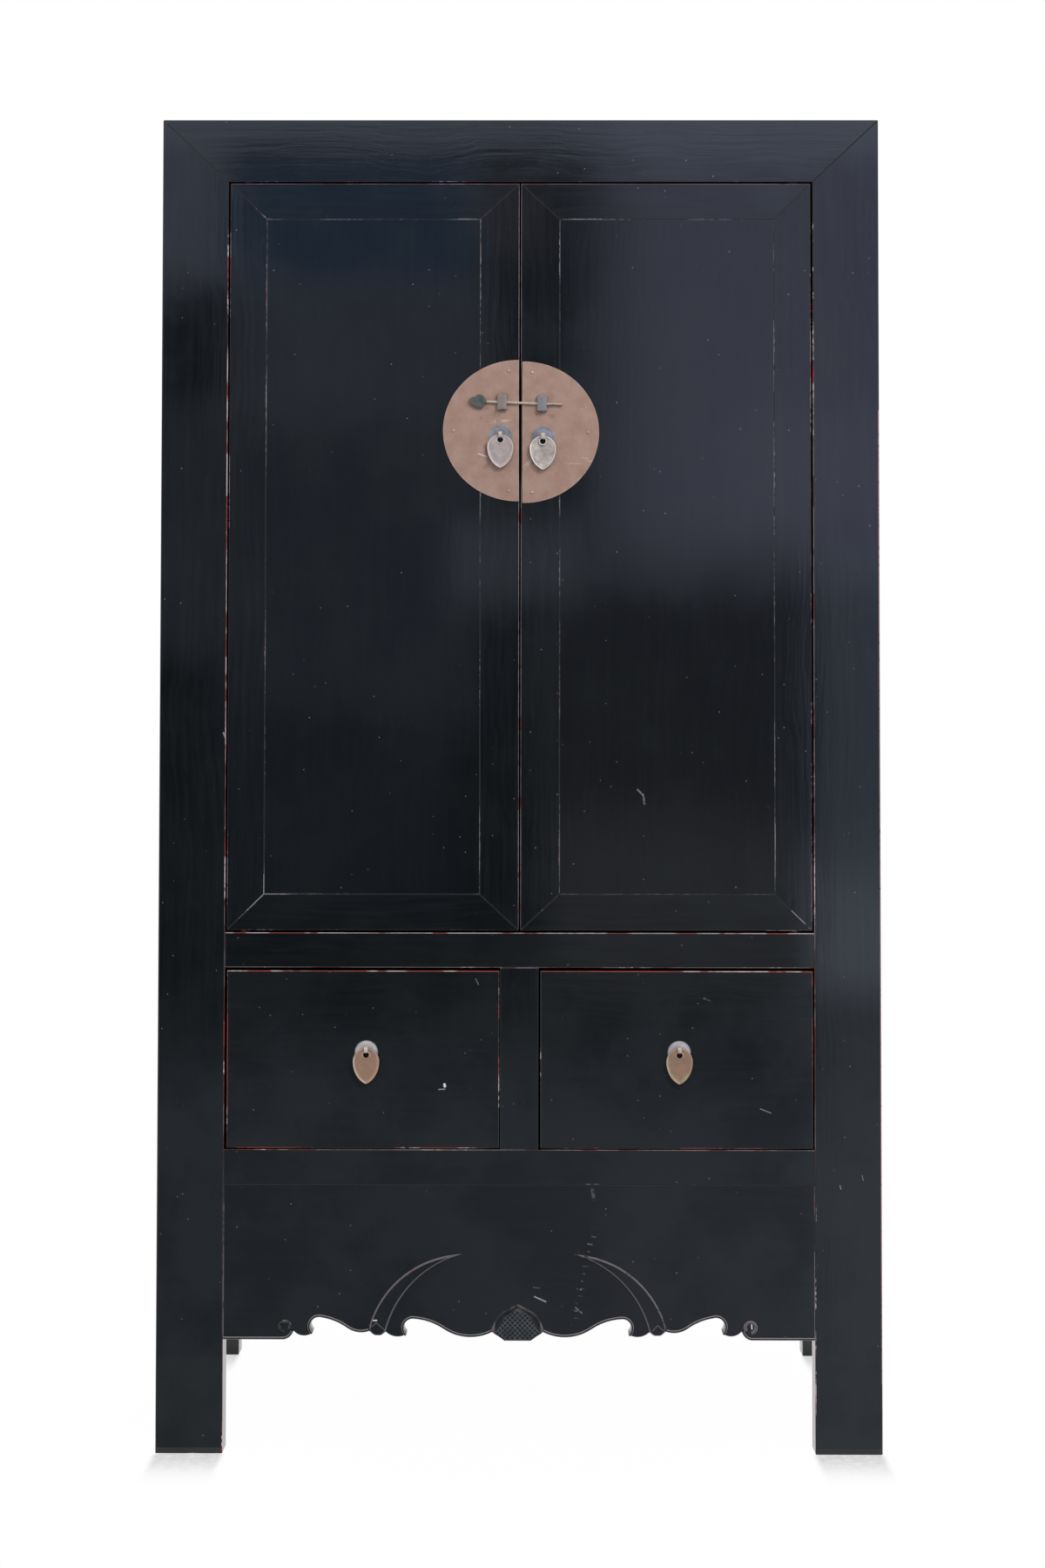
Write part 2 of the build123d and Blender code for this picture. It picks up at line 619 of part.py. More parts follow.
def door_pieces(holes):
    """The wooden pieces of the right door, with the holes of its metalwork cut through them."""
    x0 = DOOR_MEETING_GAP / 2
    x1 = x0 + door_width
    inner_x0, inner_x1 = x0 + MEETING_STILE_FACE, x1 - HINGE_STILE_FACE
    inner_z0, inner_z1 = door_bottom + DOOR_RAIL_FACE, door_top - DOOR_RAIL_FACE
    panel_size = (inner_x0, inner_x1, front_y, door_panel_back_y, inner_z0, inner_z1)
    groove = tongued(*panel_size, thin=1, play=TONGUE_PLAY)
    mid_y = (door_panel_back_y + door_back_y) / 2

    corner_tenons = []
    for low, high in (
        (door_bottom + DOOR_TENON_INSET, inner_z0 - DOOR_TENON_INSET / 2),
        (inner_z1 + DOOR_TENON_INSET / 2, door_top - DOOR_TENON_INSET),
    ):
        corner_tenons.append(
            block(
                x0 + DOOR_TENON_INSET,
                x1 - DOOR_TENON_INSET,
                mid_y - DOOR_TENON_THICKNESS / 2,
                mid_y + DOOR_TENON_THICKNESS / 2,
                low,
                high,
            )
        )

    meeting_stile = upright(
        outline((x0, door_bottom), (inner_x0, inner_z0), (inner_x0, inner_z1), (x0, door_top)),
        front_y,
        door_back_y,
    )
    hinge_stile = upright(
        outline((x1, door_bottom), (x1, door_top), (inner_x1, inner_z1), (inner_x1, inner_z0)),
        front_y,
        door_back_y,
    )
    rails = [
        upright(
            outline((x0, outer_z), (x1, outer_z), (inner_x1, inner_z), (inner_x0, inner_z)),
            front_y,
            door_back_y,
        )
        for outer_z, inner_z in ((door_bottom, inner_z0), (door_top, inner_z1))
    ]
    rails = [rail + tenon - groove for rail, tenon in zip(rails, corner_tenons)]

    pivots = []
    for low, high in (
        (middle_rail_top - PIVOT_FOOT_LENGTH + PIVOT_SEAT_CLEARANCE, inner_z0),
        (inner_z1, top_rail_bottom + PIVOT_HEAD_LENGTH),
    ):
        pivot = Cylinder(PIVOT_RADIUS, high - low)
        pivots.append(Pos(pivot_x, pivot_y, (low + high) / 2) * pivot)
    rails = [rail - pivot for rail, pivot in zip(rails, pivots)]
    meeting_stile = meeting_stile - corner_tenons - groove - holes
    hinge_stile = hinge_stile - corner_tenons - groove
    hinge_stile = hinge_stile + pivots

    half = BATTEN_FACE / 2
    batten_profile = make_face(
        Polyline(
            (door_panel_back_y - BATTEN_DOVETAIL_DEPTH, half - BATTEN_DOVETAIL_FLARE),
            (door_panel_back_y, half - 2 * BATTEN_DOVETAIL_FLARE),
            (door_panel_back_y, half),
            (door_back_y, half),
            (door_back_y, -half),
            (door_panel_back_y, -half),
            (door_panel_back_y, -half + 2 * BATTEN_DOVETAIL_FLARE),
            (door_panel_back_y - BATTEN_DOVETAIL_DEPTH, -half + BATTEN_DOVETAIL_FLARE),
            close=True,
        )
    )
    spacing = (inner_z1 - inner_z0) / (BATTEN_COUNT + 1)
    battens = []
    for number in range(BATTEN_COUNT):
        across = extrude(Plane.YZ * batten_profile, inner_x1 - inner_x0)
        battens.append(Pos(inner_x0, 0, inner_z0 + (number + 1) * spacing) * across)

    panel = block(*panel_size) + tongued(*panel_size, thin=1)
    panel = panel - battens - holes
    return meeting_stile, hinge_stile, rails, panel, battens


# ---- Metalwork ----


def split_legs(x, z, width, thickness, y_start, y_back):
    """Two flat legs side by side through the wood, clenched up and down behind it."""
    half = thickness / 2
    legs = block(x - width / 2, x + width / 2, y_start, y_back, z - half, z + half)
    reach = half + CLENCH_LENGTH
    y_end = y_back + CLENCH_THICKNESS
    return legs + block(x - width / 2, x + width / 2, y_back, y_end, z - reach, z + reach)


def leg_hole(x, z, width, thickness, y_start, y_back):
    """The squared hole that split legs pass through."""
    half_w = width / 2 + EYELET_HOLE_CLEARANCE
    half_t = thickness / 2 + EYELET_HOLE_CLEARANCE
    return block(x - half_w, x + half_w, y_start, y_back, z - half_t, z + half_t)


def staple(x, z):
    """A strap bent out over the pin, with a leg at each end through the plate and the stile."""
    half_w = STAPLE_WIDTH / 2
    half_h = STAPLE_HEIGHT / 2
    front = plate_face_y - STAPLE_EYE_DEPTH - STAPLE_THICKNESS
    strap = block(x - half_w, x + half_w, front, plate_face_y, z - half_h, z + half_h)
    strap = fillet(strap.edges().filter_by(Axis.X).group_by(Axis.Y)[0], STAPLE_THICKNESS)
    inner = half_h - STAPLE_THICKNESS
    eye_front = front + STAPLE_THICKNESS
    body = strap - block(x - half_w, x + half_w, eye_front, front_y, z - inner, z + inner)
    holes = []
    for end in (-1, 1):
        leg_z = z + end * (STAPLE_HEIGHT - STAPLE_THICKNESS) / 2
        near, far = leg_z - end * STAPLE_THICKNESS / 2, leg_z + end * CLENCH_LENGTH
        body += block(
            x - STAPLE_LEG_WIDTH / 2,
            x + STAPLE_LEG_WIDTH / 2,
            plate_face_y - STAPLE_THICKNESS,
            door_back_y,
            leg_z - STAPLE_THICKNESS / 2,
            leg_z + STAPLE_THICKNESS / 2,
        )
        body += block(
            x - STAPLE_LEG_WIDTH / 2,
            x + STAPLE_LEG_WIDTH / 2,
            door_back_y,
            door_back_y + CLENCH_THICKNESS,
            min(near, far),
            max(near, far),
        )
        holes.append(
            leg_hole(x, leg_z, STAPLE_LEG_WIDTH, STAPLE_THICKNESS, plate_face_y, door_back_y)
        )
    return body, holes


def faceted_boss(radius, rim, crown_radius, crown, facets):
    """A thin disc with a filed rim, sloping up to a flat crown that faces the front."""
    disc = upright(RegularPolygon(radius, facets), -crown, 0)
    top = disc.faces().sort_by(Axis.Y)[0]
    slope_run = (radius - crown_radius) * cos(pi / facets)
    return chamfer(top.edges(), length=slope_run, length2=crown - rim, reference=top)


def rosette(x, z, face_y, hole):
    """The disc under an eyelet, its edge filed into fine flats."""
    disc = faceted_boss(
        ROSETTE_RADIUS, ROSETTE_RIM, ROSETTE_CROWN_RADIUS, ROSETTE_CROWN, ROSETTE_FACETS
    )
    return Pos(x, face_y, z) * disc - hole


def eyelet(x, z, face_y, wood_back_y):
    """A split pin: a ring that stands off the rosette, and legs clenched behind the wood."""
    centre_y = face_y - ROSETTE_CROWN - EYELET_OUTER_RADIUS
    ring_face = Circle(EYELET_OUTER_RADIUS) - Circle(EYELET_INNER_RADIUS)
    ring = Pos(x - EYELET_WIDTH / 2, centre_y, z) * extrude(Plane.YZ * ring_face, EYELET_WIDTH)
    wall_middle = (EYELET_OUTER_RADIUS + EYELET_INNER_RADIUS) / 2
    size = (x, z, EYELET_WIDTH, EYELET_LEG_THICKNESS)
    legs = split_legs(*size, centre_y + wall_middle, wood_back_y)
    hole = leg_hole(*size, face_y - ROSETTE_CROWN, wood_back_y)
    return ring + legs, hole


def leaf(half_width, top, length):
    """The pendant's outline: broad above, drawn in to a rounded point below."""
    bottom = top - length
    tip = (0.16 * half_width, bottom + 0.012 * length)
    edges = [ThreePointArc((-tip[0], tip[1]), (0, bottom), tip)]
    widest, flank = top - 0.37 * length, top - 0.66 * length
    for side in (-1, 1):
        start, heading = (0, top), (side, 0)
        for x, z in ((half_width, widest), (0.75 * half_width, flank), tip):
            arc = TangentArc(start, (side * x, z), tangent=heading)
            edges.append(arc)
            start, heading = arc @ 1, arc % 1
    return make_face(edges)


def pendant(x, z, face_y, top, length):
    """A drop that hangs plumb in the eyelet."""
    axis_y = face_y - ROSETTE_CROWN - EYELET_OUTER_RADIUS
    half = PENDANT_THICKNESS / 2
    hole_centre = -PENDANT_HANG - PENDANT_HOLE_RADIUS
    hole = Pos(0, hole_centre) * Circle(PENDANT_HOLE_RADIUS)
    hole += Pos(0, hole_centre + PENDANT_HOLE_RADIUS / 2) * Rectangle(
        EYELET_WIDTH + 2 * PENDANT_EYE_CLEARANCE, PENDANT_HOLE_RADIUS
    )
    drop = upright(leaf(PENDANT_HALF_WIDTH, top, length) - hole, -half, half)
    return Pos(x, axis_y, z) * drop


def lock_half(side, plate_centre, plate_edge, plate_z, staple_x, pull_x):
    """One half of the lock plate with its nails, staple and pull, and the holes behind them."""
    oval = Pos(plate_centre, plate_z) * Ellipse(PLATE_HALF_WIDTH, PLATE_HALF_HEIGHT)
    far = side * half_width
    keep = block(min(plate_edge, far), max(plate_edge, far), front_y - 5, front_y, 0, total_height)
    plate = upright(oval, plate_face_y, front_y) & keep

    staple_body, holes = staple(staple_x, plate_z + STAPLE_RISE)
    pull_z = plate_z + DOOR_PULL_RISE
    eye_z = pull_z + DOOR_EYE_RISE
    eye_body, eye_hole = eyelet(pull_x, eye_z, plate_face_y, door_back_y)
    rosette_body = rosette(pull_x, pull_z, plate_face_y, eye_hole)
    drop = pendant(pull_x, eye_z, plate_face_y, DOOR_PENDANT_TOP, DOOR_PENDANT_LENGTH)

    half_shank = NAIL_SHANK / 2
    shank = block(-half_shank, half_shank, 0, NAIL_LENGTH, -half_shank, half_shank)
    nail = shank + faceted_boss(
        NAIL_HEAD_RADIUS, NAIL_HEAD_RIM, NAIL_CROWN_RADIUS, NAIL_CROWN, NAIL_FACETS
    )
    edge_x = plate_edge + side * NAIL_EDGE_DISTANCE
    side_x = plate_centre + side * (PLATE_HALF_WIDTH - NAIL_SIDE_DISTANCE)
    rise = PLATE_HALF_HEIGHT - NAIL_SIDE_DISTANCE
    nails = []
    for x, z in ((edge_x, plate_z + rise), (side_x, plate_z), (edge_x, plate_z - rise)):
        nails.append(Pos(x, plate_face_y, z) * nail)
        holes.append(Pos(x, plate_face_y, z) * shank)
    holes.append(eye_hole)
    return {
        "plate": plate - holes,
        "staple": staple_body,
        "eyelet": eye_body,
        "rosette": rosette_body,
        "pendant": drop,
        "nails": nails,
        "holes": holes,
    }


door_edge = DOOR_MEETING_GAP / 2
left_z, right_z = PLATE_HEIGHT, PLATE_HEIGHT - RIGHT_HALF_DROP
left_lock = lock_half(
    -1,
    LEFT_PLATE_CENTRE,
    -door_edge - LEFT_PLATE_INSET,
    left_z,
    LEFT_STAPLE_X,
    DOOR_PULL_LEFT_X,
)
right_lock = lock_half(
    1,
    RIGHT_PLATE_CENTRE,
    door_edge + RIGHT_PLATE_INSET,
    right_z,
    RIGHT_STAPLE_X,
    DOOR_PULL_RIGHT_X,
)


def lock_pin():
    """A round pin with a flat fish-shaped head, lying through both staples."""
    rod_y = plate_face_y - STAPLE_EYE_DEPTH / 2
    left_eye, right_eye = left_z + STAPLE_RISE, right_z + STAPLE_RISE
    slope = atan2(left_eye - right_eye, RIGHT_STAPLE_X - LEFT_STAPLE_X)
    length = PIN_TIP_X - PIN_HEAD_X
    rod = Pos(PIN_HEAD_X + length / 2, 0, 0) * Rot(0, 90, 0) * Cylinder(PIN_RADIUS, length)
    rod = chamfer(rod.edges().sort_by(Axis.X)[-1], PIN_RADIUS / 3)
    nose = PIN_HEAD_X - PIN_HEAD_LENGTH
    high = PIN_HEAD_HALF_HEIGHT
    neck = PIN_RADIUS + 1
    head = make_face(
        [
            ThreePointArc(
                (PIN_HEAD_X + PIN_RADIUS, neck),
                (PIN_HEAD_X - 0.2 * PIN_HEAD_LENGTH, high),
                (PIN_HEAD_X - 0.6 * PIN_HEAD_LENGTH, 0.6 * high),
            ),
            Line((PIN_HEAD_X - 0.6 * PIN_HEAD_LENGTH, 0.6 * high), (nose, 0.05 * high)),
            Line((nose, 0.05 * high), (PIN_HEAD_X - 0.72 * PIN_HEAD_LENGTH, -0.6 * high)),
            ThreePointArc(
                (PIN_HEAD_X - 0.72 * PIN_HEAD_LENGTH, -0.6 * high),
                (PIN_HEAD_X - 0.36 * PIN_HEAD_LENGTH, -high),
                (PIN_HEAD_X + PIN_RADIUS, -neck),
            ),
            Line((PIN_HEAD_X + PIN_RADIUS, -neck), (PIN_HEAD_X + PIN_RADIUS, neck)),
        ]
    )
    pin = rod + upright(head, -PIN_HEAD_THICKNESS / 2, PIN_HEAD_THICKNESS / 2)
    eye_middle_x = (LEFT_STAPLE_X + RIGHT_STAPLE_X) / 2
    turned = Rot(0, degrees(slope), 0) * Pos(-eye_middle_x, 0, 0) * pin
    return Pos(eye_middle_x, rod_y, (left_eye + right_eye) / 2) * turned


# ---- Drawers ----


def drawer_pieces(x0, pull_x):
    """The pieces of one drawer, whose front starts at x0, with its pull."""
    x1 = x0 + drawer_width
    left_in, right_in = x0 + DRAWER_SIDE_THICKNESS, x1 - DRAWER_SIDE_THICKNESS
    bottom_z0 = drawer_bottom + DRAWER_BOTTOM_RISE
    bottom_z1 = bottom_z0 + DRAWER_BOTTOM_THICKNESS
    back_y0 = drawer_end_y - 2 * DRAWER_BACK_THICKNESS

    pitch = (drawer_side_top - drawer_bottom) / DOVETAIL_COUNT
    neck, wide = DOVETAIL_NECK / 2, DOVETAIL_NECK / 2 + DOVETAIL_FLARE
    root, nose = drawer_front_back_y, drawer_front_back_y - DOVETAIL_LAP
    tail_face = make_face(
        Polyline((root, -neck), (nose, -wide), (nose, wide), (root, neck), close=True)
    )
    tail = extrude(Plane.YZ * tail_face, DRAWER_SIDE_THICKNESS)
    side_board = block(
        0, DRAWER_SIDE_THICKNESS, drawer_front_back_y, drawer_end_y, drawer_bottom, drawer_side_top
    )
    for number in range(DOVETAIL_COUNT):
        side_board += Pos(0, 0, drawer_bottom + (number + 0.5) * pitch) * tail
    tails = [Pos(x0, 0, 0) * side_board, Pos(right_in, 0, 0) * side_board]

    bottom = block(
        left_in - DRAWER_GROOVE_DEPTH,
        right_in + DRAWER_GROOVE_DEPTH,
        drawer_front_back_y - DRAWER_GROOVE_DEPTH,
        drawer_end_y,
        bottom_z0,
        bottom_z1,
    )
    back = block(
        left_in - DRAWER_GROOVE_DEPTH,
        right_in + DRAWER_GROOVE_DEPTH,
        back_y0,
        back_y0 + DRAWER_BACK_THICKNESS,
        bottom_z1,
        drawer_side_top - DRAWER_BACK_DROP,
    )
    eye_z = DRAWER_PULL_HEIGHT + DRAWER_EYE_RISE
    eye_body, eye_hole = eyelet(pull_x, eye_z, front_y, drawer_front_back_y)
    front = block(x0, x1, front_y, drawer_front_back_y, drawer_bottom, drawer_top)
    return {
        "front": front - tails - [bottom, eye_hole],
        "sides": [side - bottom - back for side in tails],
        "back": back,
        "bottom": bottom,
        "rosette": rosette(pull_x, DRAWER_PULL_HEIGHT, front_y, eye_hole),
        "eyelet": eye_body,
        "pendant": pendant(pull_x, eye_z, front_y, DRAWER_PENDANT_TOP, DRAWER_PENDANT_LENGTH),
    }


left_drawer_x = -opening_half + DRAWER_SIDE_GAP + LEFT_DRAWER_OFFSET
right_drawer_x = divider_half + DRAWER_SIDE_GAP + RIGHT_DRAWER_OFFSET

# ---- Write every node ----
os.makedirs("parts", exist_ok=True)
save_pair("front_{side}_post", front_post)
save_pair("back_{side}_post", back_post)
save("front_top_rail", top_rail)
save("front_middle_rail", middle_rail)
save("front_lower_rail", lower_rail)
save("drawer_divider", drawer_divider)
save("carved_apron", carved_apron)
save("right_side_rails", *side_rails)
save("left_side_rails", *[mirrored(rail) for rail in side_rails])
save("right_side_panels", *side_panels)
save("left_side_panels", *[mirrored(panel) for panel in side_panels])
for name, rail in zip(("lower", "middle", "top"), back_rails):
    save(f"back_{name}_rail", rail)
for name, panel in zip(("lower", "upper"), back_panels):
    save(f"back_{name}_panel", panel)
save("top_board", top_board)
save("cupboard_floor", cupboard_floor)
save("cupboard_shelf", cupboard_shelf)
save("shelf_bearers", bearer, mirrored(bearer))
save("drawer_runners", side_runner, mirrored(side_runner), middle_runner)

for side, lock in (("right", right_lock), ("left", left_lock)):
    holes = lock["holes"]
    if side == "left":
        holes = [mirrored(hole) for hole in holes]
    meeting_stile, hinge_stile, rails, panel, battens = door_pieces(holes)
    groups = {
        "door_meeting_stile": [meeting_stile],
        "door_hinge_stile": [hinge_stile],
        "door_rails": rails,
        "door_panel": [panel],
        "door_battens": battens,
    }
    for name, solids in groups.items():
        if side == "left":
            solids = [mirrored(solid) for solid in solids]
        save(f"{side}_{name}", *solids)
    save(f"{side}_lock_plate", lock["plate"])
    save(f"{side}_plate_nails", *lock["nails"])
    save(f"{side}_lock_staple", lock["staple"])
    save(f"{side}_door_rosette", lock["rosette"])
    save(f"{side}_door_eyelet", lock["eyelet"])
    save(f"{side}_door_pendant", lock["pendant"])
save("lock_pin", lock_pin())

for side, start, pull in (
    ("left", left_drawer_x, DRAWER_PULL_LEFT_X),
    ("right", right_drawer_x, DRAWER_PULL_RIGHT_X),
):
    pieces = drawer_pieces(start, pull)
    for name in ("front", "back", "bottom", "rosette", "eyelet", "pendant"):
        save(f"{side}_drawer_{name}", pieces[name])
    save(f"{side}_drawer_sides", *pieces["sides"])
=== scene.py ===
import bpy
import bmesh
import math
from mathutils import Matrix, Vector


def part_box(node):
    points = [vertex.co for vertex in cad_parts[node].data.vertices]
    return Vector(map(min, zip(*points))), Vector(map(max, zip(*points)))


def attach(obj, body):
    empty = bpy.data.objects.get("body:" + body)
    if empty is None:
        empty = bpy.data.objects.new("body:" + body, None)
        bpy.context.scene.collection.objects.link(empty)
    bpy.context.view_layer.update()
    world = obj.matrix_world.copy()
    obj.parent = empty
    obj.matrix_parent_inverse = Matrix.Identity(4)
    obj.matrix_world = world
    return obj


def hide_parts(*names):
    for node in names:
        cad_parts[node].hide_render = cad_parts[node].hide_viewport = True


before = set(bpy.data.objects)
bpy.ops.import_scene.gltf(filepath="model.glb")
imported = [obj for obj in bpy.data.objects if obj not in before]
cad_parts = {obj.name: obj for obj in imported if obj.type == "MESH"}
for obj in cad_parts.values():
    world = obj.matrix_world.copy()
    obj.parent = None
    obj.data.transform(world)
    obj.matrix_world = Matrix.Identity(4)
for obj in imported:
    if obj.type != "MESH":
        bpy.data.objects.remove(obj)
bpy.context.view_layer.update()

# ---- Case ----
# Posts, mitred rails, apron and flush panels of softwood, finished in black lacquer over an
# older red one. The brush ran along each board, and hands have rubbed the arrises through to
# the red and to the pale ground under it.


def add_node(tree, kind, inputs=None, **settings):
    """A shader node with its settings, and its inputs, by name or number, linked or set."""
    made = tree.nodes.new(kind)
    for name, value in settings.items():
        setattr(made, name, value)
    for name, value in (inputs or {}).items():
        if isinstance(value, bpy.types.NodeSocket):
            tree.links.new(value, made.inputs[name])
        else:
            made.inputs[name].default_value = value
    return made


def compute(tree, operation, *values, clamp=False):
    """A Math node on numbers or sockets."""
    inputs = dict(enumerate(values))
    made = add_node(tree, "ShaderNodeMath", inputs, operation=operation, use_clamp=clamp)
    return made.outputs[0]


def combine(tree, operation, first, *others):
    """The product, sum or largest of any number of values."""
    for other in others:
        first = compute(tree, operation, first, other)
    return first


def compute_vector(tree, operation, *values, scale=None):
    """A Vector Math node on vectors or sockets."""
    inputs = dict(enumerate(values))
    if scale is not None:
        inputs["Scale"] = scale
    made = add_node(tree, "ShaderNodeVectorMath", inputs, operation=operation)
    return made.outputs["Value" if operation in ("DOT_PRODUCT", "LENGTH") else "Vector"]


def ramp(tree, value, start, end, low=0.0, high=1.0):
    """A smooth step from low to high as the value goes from start to end."""
    inputs = {"Value": value, "From Min": start, "From Max": end, "To Min": low, "To Max": high}
    made = add_node(tree, "ShaderNodeMapRange", inputs, interpolation_type="SMOOTHSTEP")
    return made.outputs[0]


def mix(tree, share, first, second):
    """The colour that goes from the first to the second as the share goes from 0 to 1."""
    # The Mix node's sockets for colours share their names with others, so they go by number.
    inputs = {0: share, 6: first, 7: second}
    return add_node(tree, "ShaderNodeMix", inputs, data_type="RGBA").outputs[2]


def within(tree, value, low, high, blur):
    """1 between low and high, 0 outside them, with blurred ends."""
    above = ramp(tree, value, low - blur, low + blur)
    return compute(tree, "MULTIPLY", above, ramp(tree, value, high + blur, high - blur))


def noise(tree, where, scale, detail=3.0, roughness=0.5, seed=0.0):
    """Noise of about so many patches to the metre."""
    inputs = {"Vector": where, "W": seed, "Scale": scale, "Detail": detail, "Roughness": roughness}
    return add_node(tree, "ShaderNodeTexNoise", inputs, noise_dimensions="4D").outputs[0]


def split(tree, where):
    """The X, Y and Z of a place."""
    return add_node(tree, "ShaderNodeSeparateXYZ", {"Vector": where}).outputs


def new_material(name):
    """An empty material, its tree, and the place of each point on its object."""
    made = bpy.data.materials.new(name)
    made.use_nodes = True
    tree = made.node_tree
    tree.nodes.clear()
    return made, tree, add_node(tree, "ShaderNodeTexCoord").outputs["Object"]


def new_group(name, inputs, outputs):
    """An empty shader group, the sockets inside it, and the place of each point."""
    group = bpy.data.node_groups.new(name, "ShaderNodeTree")
    for socket, kind, value in inputs:
        made = group.interface.new_socket(socket, in_out="INPUT", socket_type="NodeSocket" + kind)
        made.default_value = value
    for socket in outputs:
        group.interface.new_socket(socket, in_out="OUTPUT", socket_type="NodeSocketFloat")
    given = group.nodes.new("NodeGroupInput").outputs
    taken = group.nodes.new("NodeGroupOutput").inputs
    where = add_node(group, "ShaderNodeTexCoord").outputs["Object"]
    return group, given, taken, where


def finish_material(tree, height, colour, roughness, metallic=0.0):
    """The Principled shader of a material, bumped by a height in metres."""
    bump = add_node(tree, "ShaderNodeBump", {"Height": height, "Distance": 1.0})
    inputs = {"Base Color": colour, "Roughness": roughness, "Normal": bump.outputs[0]}
    shader = add_node(tree, "ShaderNodeBsdfPrincipled", inputs | {"Metallic": metallic})
    add_node(tree, "ShaderNodeOutputMaterial", {"Surface": shader.outputs[0]})


def make_brushed_coat():
    """What brush and grain leave in a coat: fine ridges along the board, a slow waviness under
    them, cloudy bloom, and specks where something has splashed or struck it."""
    ridge_height, ripple_height, swell_height = 0.00005, 0.00007, 0.0005
    inputs = [("Stretch", "Vector", (1, 1, 1)), ("Seed", "Float", 0.0), ("Grain", "Float", 1.0)]
    outputs = ("Height", "Streaks", "Bloom", "Specks")
    group, given, taken, where = new_group("brushed_coat", inputs, outputs)
    seed = given["Seed"]
    drift = compute(group, "MULTIPLY", noise(group, where, 6.0, 2.0, 0.5, seed), 0.035)
    drift = compute_vector(group, "SCALE", (1, 1, 1), scale=drift)
    bent = compute_vector(group, "ADD", where, drift)
    along = compute_vector(group, "MULTIPLY", bent, given["Stretch"])
    slower = compute_vector(group, "SCALE", along, scale=0.22)
    ridges = noise(group, along, 1.0, 4.0, 0.6, seed)
    ripple = noise(group, slower, 1.0, 3.0, 0.6, seed)
    swell = noise(group, where, 4.0, 1.0, 0.4, seed)
    bloom = noise(group, where, 7.0, 5.0, 0.6, seed)
    height = compute(group, "MULTIPLY", ridges, ridge_height)
    height = compute(group, "MULTIPLY_ADD", ripple, ripple_height, height)
    height = compute(group, "MULTIPLY", height, given["Grain"])
    height = compute(group, "MULTIPLY_ADD", swell, swell_height, height)
    streaks = compute(group, "MULTIPLY", ramp(group, ridges, 0.4, 0.7), given["Grain"])
    spots = add_node(group, "ShaderNodeTexVoronoi", {"Vector": where, "Scale": 130.0}).outputs
    chance = add_node(group, "ShaderNodeSeparateColor", {"Color": spots["Color"]}).outputs[0]
    spot_size = ramp(group, chance, 0.90, 1.0, 0.0, 0.13)
    specks = compute(group, "LESS_THAN", spots["Distance"], spot_size)
    for name, socket in zip(outputs, (height, streaks, ramp(group, bloom, 0.38, 0.7), specks)):
        group.links.new(socket, taken[name])
    return group


def make_mark():
    """A scratch or smear between two points, broken along its length."""
    inputs = [
        ("Start", "Vector", (0, 0, 0)), ("End", "Vector", (0, 0, 1)),
        ("Width", "Float", 0.001), ("Gaps", "Float", 0.5),
    ]
    group, given, taken, where = new_group("mark", inputs, ("Mask",))
    run = compute_vector(group, "SUBTRACT", given["End"], given["Start"])
    offset = compute_vector(group, "SUBTRACT", where, given["Start"])
    share = compute(
        group, "DIVIDE", compute_vector(group, "DOT_PRODUCT", offset, run),
        compute_vector(group, "DOT_PRODUCT", run, run), clamp=True,
    )
    nearest = compute_vector(group, "SCALE", run, scale=share)
    away = compute_vector(group, "LENGTH", compute_vector(group, "SUBTRACT", offset, nearest))
    spread = compute(group, "DIVIDE", away, given["Width"])
    broken = compute(group, "SUBTRACT", noise(group, where, 160.0, 4.0, 0.7), given["Gaps"])
    kept = ramp(group, broken, -0.06, 0.06)
    mask = compute(group, "MULTIPLY", ramp(group, spread, 1.0, 0.4), kept)
    group.links.new(mask, taken["Mask"])
    return group


brushed_coat = make_brushed_coat()
mark = make_mark()


def add_marks(tree, colour, marks):
    """A colour with marks over it, each (start, end, width, gaps, strength, tint)."""
    for start, end, width, gaps, strength, tint in marks:
        inputs = {"Start": start, "End": end, "Width": width, "Gaps": gaps}
        line = add_node(tree, "ShaderNodeGroup", inputs, node_tree=mark).outputs["Mask"]
        colour = mix(tree, compute(tree, "MULTIPLY", line, strength), colour, tint)
    return colour


def marks_at(depth, *marks):
    """Marks on the face at a depth, each (x, z, end x, end z, width, gaps, strength, tint)."""
    return tuple(
        ((x, depth, z), (end_x, depth, end_z), *look) for x, z, end_x, end_z, *look in marks
    )


BLACK = (0.0040, 0.0050, 0.0066, 1.0)
BLOOMED = (0.0070, 0.0084, 0.0100, 1.0)
DUSTY = (0.0140, 0.0166, 0.0192, 1.0)
OLD_RED = (0.125, 0.014, 0.011, 1.0)
RUBBED_RED = (0.24, 0.040, 0.034, 1.0)
PALE = (0.30, 0.27, 0.27, 1.0)
CUT_GROUND = (0.10, 0.115, 0.14, 1.0)
CUT_DEPTH = 0.0006
# lines to the metre, few along the board and many across it
ALONG = {"x": (5.0, 150.0, 150.0), "y": (150.0, 5.0, 150.0), "z": (150.0, 150.0, 5.0)}


